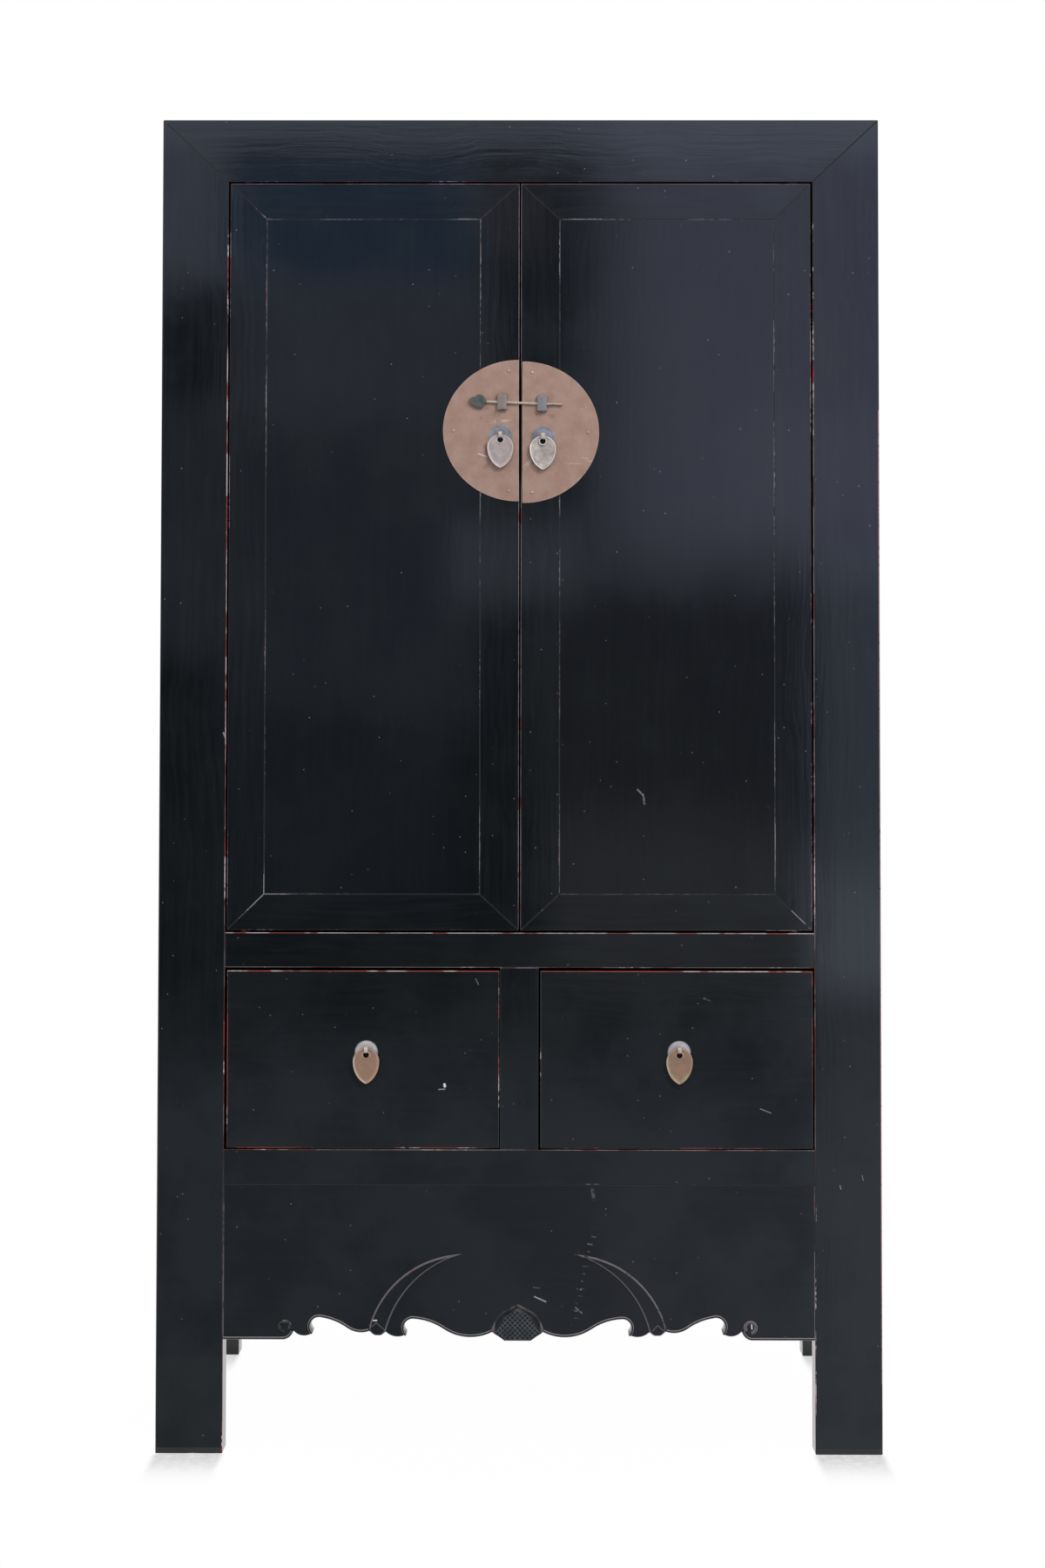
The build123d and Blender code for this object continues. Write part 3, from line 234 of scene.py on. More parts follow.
def lacquer(name, along, seed, red=None, marks=(), grain=1.0, cuts=None):
    """Black lacquer for one board, over its grain, marks and the group of its carved cuts.
    Red is (axis, start, end): the coat turns red between the two places on that axis."""
    made, tree, where = new_material(name)
    inputs = {"Stretch": ALONG[along], "Seed": seed, "Grain": grain}
    coat = add_node(tree, "ShaderNodeGroup", inputs, node_tree=brushed_coat).outputs
    axes = split(tree, where)
    colour = mix(tree, coat["Bloom"], BLACK, BLOOMED)
    settled = compute(tree, "MULTIPLY_ADD", coat["Bloom"], 0.90, 0.40)
    dust = compute(tree, "MULTIPLY", ramp(tree, axes["Z"], 0.80, 0.45), settled, clamp=True)
    colour = mix(tree, dust, colour, DUSTY)
    colour = mix(tree, compute(tree, "MULTIPLY", coat["Streaks"], 0.32), colour, DUSTY)
    colour = mix(tree, compute(tree, "MULTIPLY", coat["Specks"], 0.45), colour, PALE)
    if red:
        axis, start, end = red
        colour = mix(tree, ramp(tree, axes[axis], start, end), colour, OLD_RED)
    colour = add_marks(tree, colour, marks)
    height = coat["Height"]
    if cuts:
        cut = add_node(tree, "ShaderNodeGroup", node_tree=cuts).outputs["Mask"]
        faded = ramp(tree, noise(tree, where, 60.0), 0.35, 0.6, 0.35, 1.0)
        colour = mix(tree, compute(tree, "MULTIPLY", cut, faded), colour, CUT_GROUND)
        height = compute(tree, "MULTIPLY_ADD", cut, -CUT_DEPTH, height)
    finish_material(tree, height, colour, ramp(tree, coat["Bloom"], 0.0, 1.0, 0.065, 0.11))
    return made


def rubbed_arris(name, shown, red_share, pale=PALE, bright=()):
    """The arris of a board, where the black is rubbed off in a share of its length. Each bright
    stretch is (axis, low, high, strength, from height, to height), and none shows at strength 0."""
    made, tree, where = new_material(name)
    axes = split(tree, where)
    long_wear = noise(tree, where, 9.0, 2.0, 0.5)
    short_wear = noise(tree, where, 140.0, 5.0, 0.7)
    wear = compute(
        tree, "MULTIPLY_ADD", long_wear, 0.6, compute(tree, "MULTIPLY", short_wear, 0.4))
    worn_from, red_from = 0.58 - 0.2 * shown, 0.66 - 0.3 * red_share
    worn = ramp(tree, wear, worn_from, worn_from + 0.06)
    for axis, low, high, strength, bottom, top in bright:
        stretch = compute(
            tree, "MULTIPLY", within(tree, axes[axis], low, high, 0.0005),
            within(tree, axes["Z"], bottom, top, 0.02),
        )
        if strength:
            patchy = compute(tree, "MULTIPLY", ramp(tree, wear, 0.36, 0.54, 0.35), strength)
            worn = compute(tree, "MAXIMUM", worn, compute(tree, "MULTIPLY", stretch, patchy))
        else:
            worn = compute(tree, "MULTIPLY", worn, compute(tree, "SUBTRACT", 1.0, stretch))
    reddish = ramp(tree, noise(tree, where, 23.0), red_from, red_from + 0.06)
    colour = mix(tree, worn, BLOOMED, mix(tree, reddish, pale, RUBBED_RED))
    finish_material(tree, compute(tree, "MULTIPLY", short_wear, 0.0002), colour, 0.4)
    return made


def ease_arrises(piece, width, segments, degrees, **settings):
    """Rounds the edges of a piece that are sharper than an angle."""
    piece.modifiers.new("weld", "WELD").merge_threshold = 0.00001
    bevel = piece.modifiers.new("eased_arris", "BEVEL")
    bevel.width, bevel.segments = width, segments
    bevel.limit_method, bevel.angle_limit = "ANGLE", math.radians(degrees)
    for name, value in settings.items():
        setattr(bevel, name, value)


def dress(node, finish, arris=None, ease=0.0):
    """Gives a CAD node its finish, and eases its arrises where a width is given."""
    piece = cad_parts[node]
    for held in piece.material_slots:
        held.material = finish
    if ease:
        piece.data.materials.append(arris)
        ease_arrises(piece, ease, 2, 35, use_clamp_overlap=False, loop_slide=False, material=1)
    return piece


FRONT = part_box("front_left_post")[0][1]
CARVING_CENTRE = -0.0019
CUT_PITCH = 0.0070


def make_hatching():
    """Crossed diagonal cuts on the raised ground of the boss, which stands proud of the front."""
    ground_face, boss_half, boss_top = FRONT - 0.0023, 0.034, 0.2075
    group, _, taken, where = new_group("hatching", (), ("Mask",))
    axes = split(group, where)
    aside = compute(group, "SUBTRACT", axes["X"], CARVING_CENTRE)
    unsteady = compute(group, "MULTIPLY", noise(group, where, 30.0), 0.002)
    cuts = []
    for slope in (1.0, -1.0):
        across = compute(group, "MULTIPLY_ADD", aside, slope, axes["Z"])
        across = compute(group, "ADD", across, unsteady)
        away = compute(group, "PINGPONG", compute(group, "DIVIDE", across, CUT_PITCH), 0.5)
        cuts.append(ramp(group, away, 0.13, 0.05))
    mask = combine(
        group, "MULTIPLY", combine(group, "MAXIMUM", *cuts),
        ramp(group, axes["Y"], ground_face + 0.0001, ground_face - 0.0001),
        within(group, aside, -boss_half, boss_half, 0.001),
        ramp(group, axes["Z"], boss_top + 0.001, boss_top - 0.001),
    )
    group.links.new(mask, taken["Mask"])
    return group


GREENISH = (0.24, 0.32, 0.33, 1.0)
CHIPPED = (0.8, 0.8, 0.8, 1.0)


def scrape_rung(rung):
    """One rung of a long, uneven scrape that leads down the apron to the left."""
    shift, drop = 0.0023 * rung, 0.0104 * rung
    start_x = 0.1040 - shift - 0.0020 * math.sin(4.1 * rung)
    end_x = 0.1085 - shift + 0.0025 * math.sin(1.7 * rung)
    strength = 0.08 + 0.40 * math.sin(2.4 * rung) ** 2
    return start_x, 0.3160 - drop, end_x, 0.3152 - drop, 0.0012, 0.46, strength, GREENISH


HORN_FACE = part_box("carved_apron")[0][1]
BLACK_DEPTH = 0.0012
red_inside = ("Y", FRONT + BLACK_DEPTH, FRONT + 2 * BLACK_DEPTH)
left_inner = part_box("front_left_post")[1][0]
right_inner, right_outer = (corner[0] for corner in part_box("front_right_post"))
rail_foot, rail_top = (corner[2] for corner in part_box("front_middle_rail"))
lower_rail_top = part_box("front_lower_rail")[1][2]
board_marks = {
    "front_left_post": marks_at(FRONT, (-0.4190, 1.011, -0.4225, 1.018, 0.0018, 0.30, 0.8, PALE)),
    "front_right_post": marks_at(
        FRONT,
        (0.4200, 0.350, 0.4200, 0.328, 0.0016, 0.46, 0.9, PALE),
        (0.4545, 0.378, 0.4560, 0.373, 0.0009, 0.30, 0.9, PALE),
        (0.4860, 0.392, 0.4875, 0.385, 0.0008, 0.35, 0.6, PALE),
    ) + marks_at(
        # the outer edge, rubbed along most of its length
        FRONT + 0.0008,
        (right_outer - 0.0004, 1.48, right_outer - 0.0004, 0.10, 0.0019, 0.42, 0.8,
         (0.42, 0.24, 0.24, 1.0)),
    ),
    "carved_apron": marks_at(
        FRONT,
        (0.104, 0.372, 0.106, 0.358, 0.0030, 0.48, 0.30, GREENISH),
        (0.083, 0.232, 0.088, 0.231, 0.0016, 0.46, 0.60, PALE),
        (0.080, 0.206, 0.089, 0.198, 0.0012, 0.44, 0.60, GREENISH),
        (0.020, 0.234, 0.030, 0.233, 0.0008, 0.42, 0.35, GREENISH),
        (0.022, 0.221, 0.038, 0.214, 0.0012, 0.38, 0.90, (0.40, 0.43, 0.47, 1.0)),
        (0.3290, 0.1835, 0.3295, 0.1765, 0.0012, 0.30, 1.00, CHIPPED),
        *(scrape_rung(rung) for rung in range(14)),
    ) + marks_at(
        HORN_FACE,
        (-0.2108, 0.1771, -0.2016, 0.1845, 0.0008, 0.30, 0.40, PALE),
        (-0.2016, 0.1845, -0.1892, 0.1741, 0.0008, 0.30, 0.40, PALE),
        (0.1888, 0.1740, 0.1960, 0.1813, 0.0008, 0.30, 0.40, PALE),
        (0.1960, 0.1813, 0.2053, 0.1740, 0.0008, 0.30, 0.40, PALE),
        (-0.2060, 0.1878, -0.2010, 0.1878, 0.0012, 0.20, 1.00, CHIPPED),
    ),
}
plain_arris = rubbed_arris("plain_arris", 0.15, 0.5)
side_arris = rubbed_arris("side_arris", 0.50, 0.35, (0.20, 0.175, 0.17, 1.0))
carved_arris = rubbed_arris("carved_arris", 0.85, 0.10, (0.17, 0.15, 0.165, 1.0), (
    ("X", -0.0338, 0.0300, 0.0, 0.15, 0.2045),
    ("Z", 0.3765, 0.3805, 0.0, 0.30, 0.45),
))
post_arris = rubbed_arris("post_arris", 0.12, 0.6, (0.62, 0.50, 0.52, 1.0), (
    ("X", left_inner - 0.003, left_inner + 0.001, 1.0, 0.98, 1.56),
    ("X", left_inner - 0.003, left_inner + 0.001, 0.14, 0.10, 0.98),
    ("X", right_inner - 0.001, right_inner + 0.003, 0.22, 0.40, 1.60),
))
rail_arris = rubbed_arris("rail_arris", 0.12, 0.45, (0.50, 0.42, 0.44, 1.0), (
    ("Z", rail_top - 0.001, rail_top + 0.001, 0.95, 0.70, 0.80),
    ("Z", rail_foot - 0.001, rail_foot + 0.001, 0.35, 0.60, 0.75),
    ("Z", lower_rail_top - 0.001, lower_rail_top + 0.001, 0.45, 0.40, 0.45),
))
# The length of a board's name seeds its grain, so that boards side by side differ.
for node, along, red, cuts, arris, ease in (
    ("front_left_post", "z", ("X", left_inner - 0.0006, left_inner), None, post_arris, 0.0011),
    ("front_right_post", "z", ("X", right_inner + 0.0006, right_inner), None, post_arris, 0.0014),
    ("front_top_rail", "x", red_inside, None, plain_arris, 0.0006),
    ("front_middle_rail", "x", red_inside, None, rail_arris, 0.0012),
    ("front_lower_rail", "x", red_inside, None, rail_arris, 0.0007),
    ("drawer_divider", "z", red_inside, None, rail_arris, 0.0007),
    ("carved_apron", "x", None, make_hatching(), carved_arris, 0.0010),
):
    marks = board_marks.get(node, ())
    finish = lacquer(f"{node}_lacquer", along, len(node) * 1.7, red, marks, cuts=cuts)
    dress(node, finish, arris, ease)
for node, along in (
    ("back_left_post", "z"), ("back_right_post", "z"), ("left_side_rails", "y"),
    ("right_side_rails", "y"), ("left_side_panels", "z"), ("right_side_panels", "z"),
    ("back_lower_rail", "x"), ("back_middle_rail", "x"), ("back_top_rail", "x"),
    ("back_lower_panel", "x"), ("back_upper_panel", "z"), ("top_board", "x"),
):
    dress(node, lacquer(f"{node}_lacquer", along, len(node) * 1.7), side_arris, 0.0009)

# ---- Beads on the apron ----
# The raised bead that the carver left along each lobe and hook and along the straight ends. Its
# two arrises are rubbed to the pale ground, and the hollow of its top stays black.
BEADED_RUNS = (
    # from and to, each (distance from the carving's centre, height above the apron's ends)
    ((0.0359, 0.0110), (0.1566, 0.0076)),
    ((0.2100, 0.0118), (0.2895, 0.0095)),
    ((0.3170, 0.0119), (0.4150, 0.0000)),
)
BEAD_PROFILE = (
    # how far in from the edge, how proud of the board
    (0.0000, 0.0000), (0.0000, 0.0009), (0.0009, 0.0017), (0.0027, 0.0017), (0.0036, 0.0008),
    (0.0038, 0.0000),
)
ARRIS_STRIPS = (1, 3)
BOSS_DROP = 0.0013
apron_ends_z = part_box("carved_apron")[0][2] + BOSS_DROP
carved = bmesh.new()
carved.from_mesh(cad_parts["carved_apron"].data)
bmesh.ops.remove_doubles(carved, verts=carved.verts, dist=0.00001)
rim = {}
for edge in carved.edges:
    flat = all(abs(v.co.y - FRONT) < 0.0001 for v in edge.verts)
    behind = [f for f in edge.link_faces if f.normal.y > -0.5 and f.calc_center_median().y > FRONT]
    if flat and behind:
        for vert in edge.verts:
            rim.setdefault(tuple(vert.co), []).append(tuple(edge.other_vert(vert).co))
carved.free()


def edge_run(side, start, end):
    """The points of the apron's lower edge between two of its named points."""
    first, last = (
        min(rim, key=lambda p: math.dist(p, (CARVING_CENTRE + side * x, FRONT, apron_ends_z + z)))
        for x, z in (start, end)
    )
    run = [first, max(rim[first], key=lambda p: side * p[0])]
    while run[-1] != last and len(run) < len(rim):
        run.append(next(p for p in rim[run[-1]] if p != run[-2]))
    return run


def add_bead(shape, run, side):
    """Draws the bead's profile along a run of the apron's edge."""
    inward = []
    for before, after in zip([run[0]] + run, run[1:] + [run[-1]]):
        along = Vector((after[0] - before[0], 0.0, after[2] - before[2])).normalized()
        inward.append(Vector((-along.z, 0.0, along.x)) * side)
    verts = [shape.verts.new(point) for point in run]
    for strip, (deep, proud) in enumerate(BEAD_PROFILE[1:]):
        edges = [shape.edges.get(pair) or shape.edges.new(pair) for pair in zip(verts, verts[1:])]
        drawn = set(bmesh.ops.extrude_edge_only(shape, edges=edges)["geom"])
        for face in (g for g in drawn if isinstance(g, bmesh.types.BMFace)):
            face.material_index = 1 if strip in ARRIS_STRIPS else 0
        verts = [
            next(e.other_vert(vert) for e in vert.link_edges if e.other_vert(vert) in drawn)
            for vert in verts
        ]
        for vert, point, turned_in in zip(verts, run, inward):
            vert.co = Vector(point) + turned_in * deep + Vector((0.0, -proud, 0.0))


def place_mesh(name, shape, *finishes):
    """Makes a bmesh an object of the scene, with its finishes."""
    mesh = bpy.data.meshes.new(name)
    shape.to_mesh(mesh)
    shape.free()
    for finish in finishes:
        mesh.materials.append(finish)
    made = bpy.data.objects.new(name, mesh)
    bpy.context.collection.objects.link(made)
    return made


bead_lacquer = lacquer("bead_lacquer", "x", 7.0)
bead_arris = rubbed_arris("bead_arris", 1.35, 0.10, (0.27, 0.235, 0.245, 1.0))
shape = bmesh.new()
for side in (-1, 1):
    for start, end in BEADED_RUNS:
        add_bead(shape, edge_run(side, start, end), side)
bmesh.ops.recalc_face_normals(shape, faces=shape.faces)
beads = place_mesh("apron_beads", shape, bead_lacquer, bead_arris)
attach(beads, "case")

# ---- Bare wood inside ----
# The floor, shelf, runners, battens and drawer boxes, which only show with a door or drawer open.
# They are planed softwood, gone brown with age and never coated.
SAPWOOD, HEARTWOOD = (0.27, 0.165, 0.090, 1.0), (0.19, 0.105, 0.055, 1.0)
GRAIN_LINE = (0.10, 0.055, 0.030, 1.0)


def bare_wood(name, along, seed):
    """Planed wood with its figure and grain along one axis."""
    made, tree, where = new_material(name)
    fibres = compute_vector(tree, "MULTIPLY", where, ALONG[along])
    grain = noise(tree, fibres, 1.0, 6.0, 0.65, seed)
    figure = noise(tree, compute_vector(tree, "SCALE", fibres, scale=0.1), 1.0, 3.0, 0.5, seed)
    colour = mix(tree, ramp(tree, figure, 0.3, 0.7), SAPWOOD, HEARTWOOD)
    colour = mix(tree, ramp(tree, grain, 0.50, 0.75, 0.0, 0.5), colour, GRAIN_LINE)
    finish_material(tree, compute(tree, "MULTIPLY", grain, 0.0002), colour, 0.7)
    return made


for node, along in (
    ("cupboard_floor", "x"), ("cupboard_shelf", "x"), ("shelf_bearers", "y"),
    ("drawer_runners", "y"), ("left_door_battens", "x"), ("right_door_battens", "x"),
    ("left_drawer_sides", "y"), ("right_drawer_sides", "y"), ("left_drawer_back", "x"),
    ("right_drawer_back", "x"), ("left_drawer_bottom", "x"), ("right_drawer_bottom", "x"),
):
    dress(node, bare_wood(f"{node}_wood", along, len(node) * 2.3))

# ---- Doors ----
# Each leaf is a frame mitred at the corners, round a panel that lies flush with it. Their edges
# and backs keep the older red, and the panels' joints show as hairlines in the black.
panel_arris = rubbed_arris("panel_arris", 0.48, 0.05, (0.15, 0.16, 0.175, 1.0))
door_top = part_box("left_door_rails")[1][2]
door_arris = rubbed_arris("door_arris", 0.18, 0.35, (0.30, 0.26, 0.29, 1.0), (
    ("X", -0.0025, 0.0025, 0.75, 0.74, 1.81),
    ("X", -0.0045, 0.0045, 0.0, 1.38, 1.54),
    ("Z", door_top - 0.001, door_top + 0.001, 0.70, 1.80, 1.82),
))
door_marks = {
    "right_door_panel": marks_at(
        FRONT,
        (0.168, 0.938, 0.176, 0.930, 0.0016, 0.42, 0.6, PALE),
        (0.176, 0.930, 0.178, 0.918, 0.0020, 0.48, 0.5, PALE),
    ),
}
for side in ("left", "right"):
    for part, along, grain, arris in (
        ("hinge_stile", "z", 1.0, door_arris), ("meeting_stile", "z", 1.0, door_arris),
        ("rails", "x", 1.0, door_arris), ("panel", "z", 0.4, panel_arris),
    ):
        node = f"{side}_door_{part}"
        marks = door_marks.get(node, ())
        finish = lacquer(f"{node}_lacquer", along, len(node) * 1.3, red_inside, marks, grain)
        dress(node, finish, arris, 0.0007)

# ---- Drawer fronts ----
# Solid boards with a rounded arris, lapped over the dovetails of their sides. They are rubbed
# palest along the top, where fingers pull.
drawer_marks = {
    "left": marks_at(
        FRONT,
        (-0.106, 0.5195, -0.1055, 0.5170, 0.0024, 0.20, 1.0, CHIPPED),
        (-0.114, 0.5125, -0.1055, 0.5130, 0.0012, 0.35, 0.9, PALE),
        (-0.062, 0.6690, -0.0580, 0.6610, 0.0008, 0.35, 0.6, PALE),
    ),
    "right": marks_at(
        FRONT,
        (0.262, 0.642, 0.272, 0.638, 0.0016, 0.50, 0.4, PALE),
        (0.342, 0.486, 0.357, 0.480, 0.0010, 0.35, 0.7, PALE),
    ),
}
for side in ("left", "right"):
    node = f"{side}_drawer_front"
    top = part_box(node)[1][2]
    arris = rubbed_arris(f"{side}_drawer_arris", 0.45, 0.85, (0.50, 0.38, 0.38, 1.0), (
        ("Z", top - 0.002, top + 0.001, 0.95, 0.60, 0.75),
    ))
    finish = lacquer(f"{node}_lacquer", "x", len(node) * 2.9, red_inside, drawer_marks[side])
    dress(node, finish, arris, 0.0014)

# ---- Lock plate ----
# Two halves of hammered sheet brass, gone brown-pink, each held by three round-headed nails. A
# thin bright line is left round the edge, and keys and pulls have scratched the middle.


def metal(name, light, dark, roughness, metallic, worn=None, marks=(), clouds=45.0):
    """Old brass: cloudy between two colours, with fine brushing, pits, and bright worn parts.
    Worn is (axis, start, end, colour): the metal turns bright between the two places."""
    made, tree, where = new_material(name)
    cloud = noise(tree, where, clouds, 6.0, 0.62)
    brushed = noise(tree, compute_vector(tree, "MULTIPLY", where, (700.0, 700.0, 90.0)), 1.0)
    pitted = noise(tree, where, 900.0, 3.0, 0.6)
    colour = mix(tree, ramp(tree, cloud, 0.32, 0.68), light, dark)
    colour = mix(tree, ramp(tree, brushed, 0.5, 0.8, 0.0, 0.25), colour, light)
    if worn:
        axis, start, end, tint = worn
        bright = ramp(tree, split(tree, where)[axis], start, end)
        patchy = ramp(tree, cloud, 0.25, 0.5, 0.6, 1.0)
        colour = mix(tree, compute(tree, "MULTIPLY", bright, patchy), colour, tint)
    colour = add_marks(tree, colour, marks)
    height = compute(tree, "MULTIPLY", brushed, 0.00002)
    height = compute(tree, "MULTIPLY_ADD", pitted, 0.00002, height)
    height = compute(tree, "MULTIPLY_ADD", cloud, 0.011 / clouds, height)
    sheen = ramp(tree, cloud, 0.3, 0.7, roughness - 0.05, roughness + 0.08)
    finish_material(tree, height, colour, sheen, metallic)
    return made


def add_piece(name, shape, finish, body, node):
    """Makes a bmesh a smooth piece that rides a body, in place of a CAD node."""
    bmesh.ops.recalc_face_normals(shape, faces=shape.faces)
    piece = place_mesh(name, shape, finish)
    piece.data.polygons.foreach_set("use_smooth", [True] * len(piece.data.polygons))
    piece.data.set_sharp_from_angle(angle=math.radians(50))
    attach(piece, body)
    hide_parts(node)


def turn(shape, profile, centre, steps, axis="Y"):
    """Adds a turned form to a bmesh: (radius, place along the axis) from one end to the other."""
    before = set(shape.verts)
    verts = [
        shape.verts.new((place, radius, 0) if axis == "X" else (radius, place, 0))
        for radius, place in profile
    ]
    edges = [shape.edges.new(pair) for pair in zip(verts, verts[1:])]
    bmesh.ops.spin(
        shape, geom=verts + edges, axis=(1, 0, 0) if axis == "X" else (0, 1, 0),
        angle=2 * math.pi, steps=steps, use_merge=True,
    )
    turned = [v for v in shape.verts if v not in before]
    bmesh.ops.translate(shape, verts=turned, vec=centre)
    bmesh.ops.remove_doubles(shape, verts=turned, dist=0.000002)


def middle(node):
    """The middle of a CAD node's box."""
    return [(low + high) / 2 for low, high in zip(*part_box(node))]


PLATE_LIGHT, PLATE_DARK = (0.412, 0.268, 0.214, 1.0), (0.335, 0.208, 0.159, 1.0)
PLATE_RIM = (0.60, 0.50, 0.47, 1.0)
NAIL_LIGHT, NAIL_DARK = (0.62, 0.46, 0.38, 1.0), (0.45, 0.31, 0.25, 1.0)
PLATE_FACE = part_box("left_lock_plate")[0][1]
# what keys, the pin and the pulls have left, from bare metal to old scratches, then a painted
# shadow
BARE, SCORED = (0.75, 0.66, 0.62, 1.0), (0.72, 0.62, 0.58, 1.0)
SCUFFED, RUBBED = (0.66, 0.56, 0.52, 1.0), (0.60, 0.50, 0.46, 1.0)
HAIRLINE, OLD_SCRATCH = (0.62, 0.50, 0.44, 1.0), (0.25, 0.15, 0.11, 1.0)
# dark brown painted shadow, for the shade that the pin, staples, pulls and nails cast on the plate
PAINTED_SHADOW = (0.20, 0.12, 0.085, 1.0)
plate_marks = {
    "left": marks_at(
        PLATE_FACE,
        (-0.0591, 1.4178, -0.0467, 1.4133, 0.0011, 0.30, 0.80, BARE),
        (-0.0400, 1.4640, -0.0200, 1.4655, 0.0030, 0.50, 0.40, RUBBED),
        # painted shadow below and to the left of the pull
        (-0.0500, 1.3980, -0.0440, 1.4060, 0.0040, 0.42, 0.50, PAINTED_SHADOW),
        (-0.0480, 1.4280, -0.0440, 1.4120, 0.0050, 0.36, 0.60, PAINTED_SHADOW),
        (-0.0900, 1.4900, -0.0650, 1.4480, 0.0008, 0.52, 0.50, OLD_SCRATCH),
        (-0.1000, 1.4300, -0.0700, 1.3800, 0.0007, 0.54, 0.22, HAIRLINE),
        (-0.0600, 1.5300, -0.0300, 1.5150, 0.0008, 0.52, 0.25, HAIRLINE),
        (-0.0300, 1.3900, -0.0080, 1.3700, 0.0008, 0.50, 0.50, OLD_SCRATCH),
        # painted shadows of the pull, the pin's head and the staple
        (-0.0480, 1.4300, -0.0340, 1.3980, 0.0060, 0.46, 0.40, PAINTED_SHADOW),
        (-0.0720, 1.4850, -0.0480, 1.4820, 0.0050, 0.44, 0.45, PAINTED_SHADOW),
        (-0.0550, 1.4700, -0.0300, 1.4740, 0.0040, 0.48, 0.35, PAINTED_SHADOW),
        (-0.0420, 1.4610, -0.0150, 1.4660, 0.0010, 0.44, 0.50, (0.62, 0.52, 0.48, 1.0)),
    ),
    "right": marks_at(
        PLATE_FACE,
        (0.0635, 1.4046, 0.0865, 1.4036, 0.0009, 0.44, 0.35, SCORED),
        (0.0880, 1.4120, 0.0980, 1.4108, 0.0010, 0.42, 0.30, SCORED),
        (0.0060, 1.3980, 0.0160, 1.4080, 0.0040, 0.45, 0.40, RUBBED),
        # painted shadow left of the pull
        (0.0160, 1.4240, 0.0190, 1.4060, 0.0050, 0.38, 0.60, PAINTED_SHADOW),
        (0.0480, 1.5080, 0.0520, 1.4960, 0.0008, 0.44, 0.25, SCUFFED),
        (0.0600, 1.4700, 0.0950, 1.4850, 0.0007, 0.54, 0.25, HAIRLINE),
        (0.0300, 1.3800, 0.0700, 1.3700, 0.0008, 0.54, 0.50, OLD_SCRATCH),
        # painted shadows of the pull and the staple
        (0.0150, 1.4260, 0.0270, 1.3950, 0.0055, 0.46, 0.40, PAINTED_SHADOW),
        (0.0250, 1.4740, 0.0480, 1.4720, 0.0040, 0.46, 0.40, PAINTED_SHADOW),
        (0.0950, 1.4080, 0.1080, 1.4060, 0.0009, 0.44, 0.45, SCUFFED),
    ),
}
NAIL_INSET = 0.003
NAIL_HEAD = (
    # radius, how far behind the crown
    (0.0000, 0.0000), (0.0008, 0.0001), (0.0015, 0.0005), (0.0019, 0.0010), (0.0020, 0.0013),
    (0.0010, 0.0013),
)
for side in ("left", "right"):
    node = f"{side}_plate_nails"
    low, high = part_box(node)
    edge_x, joint_x = low[0] + NAIL_INSET, high[0] - NAIL_INSET
    if side == "right":
        edge_x, joint_x = joint_x, edge_x
    nail_places = (
        (edge_x, middle(node)[2]), (joint_x, high[2] - NAIL_INSET), (joint_x, low[2] + NAIL_INSET),
    )
    # painted shadows of the nail heads: a dark ring round each, shifted down and to the left
    nail_shadows = marks_at(PLATE_FACE, *(
        (x - 0.0008, z - 0.0008, x, z, 0.0036, 0.25, 0.55, PAINTED_SHADOW) for x, z in nail_places
    ))
    brass = metal(
        f"{side}_plate_brass", PLATE_LIGHT, PLATE_DARK, 0.48, 0.30,
        marks=plate_marks[side] + nail_shadows,
    )
    rim = metal(f"{side}_plate_rim", PLATE_RIM, PLATE_LIGHT, 0.35, 0.5)
    dress(f"{side}_lock_plate", brass, rim, 0.0006)
    nails = bmesh.new()
    profile = [(radius, low[1] + deep) for radius, deep in NAIL_HEAD]
    profile += [(0.0009, high[1] - 0.002), (0.0, high[1])]
    for x, z in nail_places:
        turn(nails, profile, (x, 0, z), 24)
    nail_brass = metal(f"{side}_nail_brass", NAIL_LIGHT, NAIL_DARK, 0.3, 0.35)
    add_piece(f"{side}_round_nails", nails, nail_brass, f"{side}_door", node)

# ---- Rosettes ----
# The domed washers behind the pulls, pressed from thin white brass. Those of the drawers have a
# fluted, toothed rim.
TEETH = 40
FLUTES_FROM, FLUTES_TO = 0.72, 0.97
FLUTE_DEPTH, FLUTE_DROP = 0.10, 0.0006
ROSETTE_PROFILE = (
    # share of the radius, share of the crown's height
    (0.0, 1.0), (0.15, 0.99), (0.35, 0.93), (0.55, 0.80), (0.70, 0.66), (0.80, 0.56),
    (0.86, 0.52), (0.91, 0.60), (0.95, 0.62), (0.985, 0.50), (1.0, 0.25), (1.0, 0.0),
)
